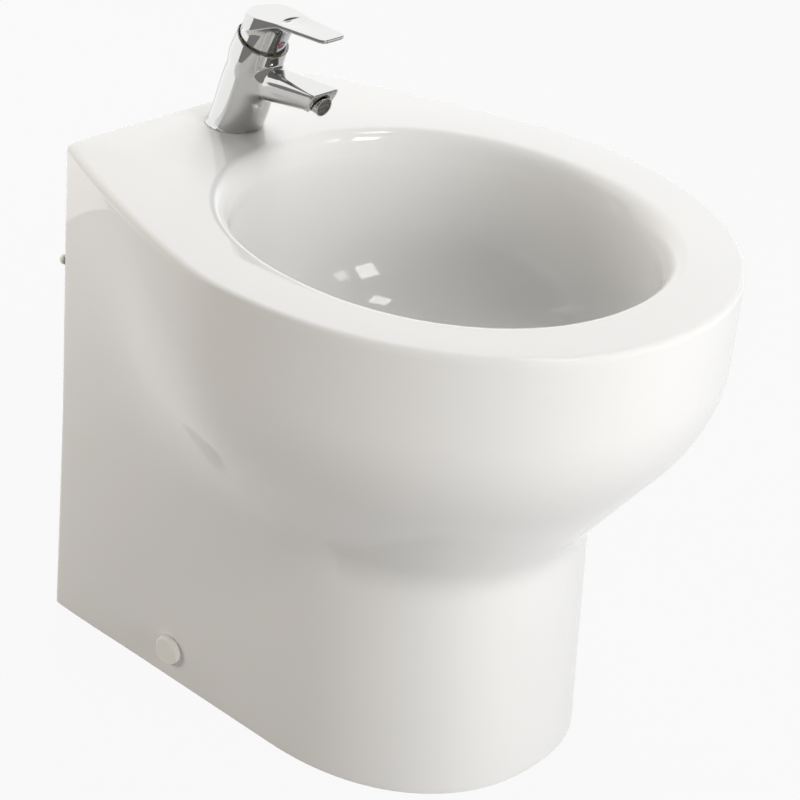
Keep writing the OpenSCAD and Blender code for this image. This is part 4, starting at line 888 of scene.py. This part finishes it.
# Camera. It stands where the photograph was taken from, front left and above, with a long lens.
view_turn, view_rise, view_roll = np.radians([-49.7358, 28.4704, 5.5667])
aim = np.array([-0.0125, 0.0407])
distance, focal_pixels = 1.7166, 2371.9
level = np.array([np.cos(view_turn), np.sin(view_turn), 0])
away = np.array([np.sin(view_turn), -np.cos(view_turn), 0])
back = away * np.cos(view_rise) + np.array([0, 0, np.sin(view_rise)])
right = np.cos(view_roll) * level + np.sin(view_roll) * np.cross(back, level)
up = np.cross(back, right)
looked_at = np.array([0, -19 * mm, 200 * mm])


def placed(right, up, back, at):
    """The matrix of a thing whose own X, Y and Z point right, up and back, at a place."""
    return Matrix([*np.column_stack([right, up, back, at]).tolist(), [0, 0, 0, 1]])


camera = added("camera", bpy.data.cameras.new("camera"))
camera.matrix_world = placed(right, up, back, looked_at + back * distance + right * aim[0] + up * aim[1])
camera.data.lens = focal_pixels * camera.data.sensor_width / 800
bpy.context.scene.camera = camera

# Studio. A floor that the camera and every mirror see as white, a room that only mirrors see, and
# large soft lamps on all sides.
floor_grid = np.stack(np.meshgrid([-9.0, 9.0], [9.0, -9.0]) + [np.zeros((2, 2))], axis=2)
floor_mesh = grid_mesh("floor", floor_grid)
floor = added("floor", floor_mesh)
white_floor, tree, shader, _ = finish_material("white_studio_floor")
feed(tree, shader, Base_Color=linear("898989"), Roughness=1.0, Specular_IOR_Level=0.0)
floor_mesh.materials.append(white_floor)
larger, times = {"operation": "MAXIMUM"}, {"operation": "MULTIPLY"}
smooth = {"interpolation_type": "SMOOTHSTEP"}


def sorted_rays(tree):
    """Two outputs, 1 or 0: for the camera's own rays, and for those sent on by a mirror or by glass."""
    rays = node(tree, "LightPath").outputs
    sent_on = node(tree, "Math", larger, i0=rays["Is Glossy Ray"], i1=rays["Is Transmission Ray"])
    return rays["Is Camera Ray"], sent_on.outputs[0]


direct, sent_on = sorted_rays(tree)
seen = node(tree, "Math", larger, i0=direct, i1=sent_on)
glow = node(tree, "Emission", Color=linear("FFFFFF"))
white_share = node(tree, "Math", times, i0=seen.outputs[0], i1=0.93)
blended = node(tree, "MixShader", i0=white_share.outputs[0], i1=shader.outputs[0], i2=glow.outputs[0])
feed(tree, tree.nodes["Material Output"], Surface=blended.outputs[0])

# The camera sees a white room. Mirrors see it white towards the wall and low down, and dark elsewhere
world = bpy.data.worlds.new("studio")
bpy.context.scene.world = world
world.use_nodes = True
tree = world.node_tree
way_out = node(tree, "TexCoord").outputs["Generated"]
parts = node(tree, "SeparateXYZ", Vector=way_out)
wallward = node(tree, "VectorMath", {"operation": "DOT_PRODUCT"}, i0=way_out, i1=(0.37, 0.93, 0.0))
wall_light = node(tree, "MapRange", smooth, Value=wallward.outputs["Value"], i1=0.2, i2=0.75, i3=0.16, i4=1.4)
low_light = node(tree, "MapRange", smooth, Value=parts.outputs["Z"], i1=0.0, i2=0.22, i3=0.93, i4=0.0)
room = node(tree, "Math", larger, i0=wall_light.outputs[0], i1=low_light.outputs[0])
direct, sent_on = sorted_rays(tree)
in_mirrors = node(tree, "Math", times, i0=room.outputs[0], i1=sent_on)
strength = node(tree, "Math", larger, i0=direct, i1=in_mirrors.outputs[0])
feed(tree, tree.nodes["Background"], Color=linear("FFFFFF"), Strength=strength.outputs[0])

# Two cards that only mirrors see, each from one side: a grey one at the tap's left, and a white one
# towards the wall
for name, end_one, end_two, low, high, colour, strength in (
    ("grey_card", (-100, -350), (-100, 228), 395, 800, "949290", 1.0),
    ("white_card", (-560, 460), (60, 460), 220, 900, "FFFFFF", 1.4),
):
    corners = [[(*end, z) for z in (low, high)] for end in (end_one, end_two)]
    card_mesh = grid_mesh(name, np.array(corners) * mm)
    card = added(name, card_mesh)
    card.visible_camera = card.visible_diffuse = card.visible_shadow = card.visible_transmission = False
    paper, tree, _, _ = finish_material(name + "_paper")
    card_mesh.materials.append(paper)
    glow = node(tree, "Emission", Color=linear(colour), Strength=strength)
    clear = node(tree, "BsdfTransparent")
    facing = node(tree, "NewGeometry").outputs["Backfacing"]
    sheet = node(tree, "MixShader", i0=facing, i1=glow.outputs[0], i2=clear.outputs[0])
    feed(tree, tree.nodes["Material Output"], Surface=sheet.outputs[0])


def lamp(name, azimuth, elevation, distance, towards, size, power, tint, mirrored):
    """A square soft lamp, out from a point along a direction and aimed back at it.

    Azimuth is from +X towards the wall, in degrees. A lamp that isn't mirrored gives no highlight.
    """
    light = bpy.data.lights.new(name, "AREA")
    light.shape, light.size, light.energy, light.color = "SQUARE", size, power, linear(tint)[:3]
    holder = added(name, light)
    a, e = np.radians([azimuth, elevation])
    out = np.array([np.cos(a) * np.cos(e), np.sin(a) * np.cos(e), np.sin(e)])
    across = np.cross([0, 0, 1], out)
    across /= np.linalg.norm(across)
    holder.matrix_world = placed(across, np.cross(out, across), out, np.array(towards) + distance * out)
    holder.visible_glossy = mirrored


middle = (0, 0, 0.25)
for name, azimuth, elevation, power, tint in (
    ("wall_lamp", 90, 12, 22, "FFFDFB"),
    ("back_left_lamp", 135, 12, 28, "FFF8F0"),
    ("front_left_lamp", 225, 12, 13, "FFF6EB"),
    ("front_lamp", 270, 12, 45, "FCFDFF"),
    ("front_right_lamp", 315, 12, 5, "FFFFFF"),
    ("back_right_lamp", 45, 45, 24, "FFFFFF"),
    ("top_lamp", 0, 68, 20, "FFFFFF"),
):
    lamp(name, azimuth, elevation, 2.5, middle, 1.3, power, tint, False)
lamp("bowl_window", -94, 46, 2.0, (0.055, 0.095, 0.29), 0.42, 4, "FFFFFF", True)
lamp("deck_window", -71, 40, 2.2, (0.042, 0.130, 0.385), 0.30, 1.2, "FFFFFF", True)
lamp("top_window", -61, 74, 2.0, (0.052, 0.076, 0.273), 0.30, 2, "FFFFFF", True)

bpy.context.scene.view_settings.view_transform = "Standard"
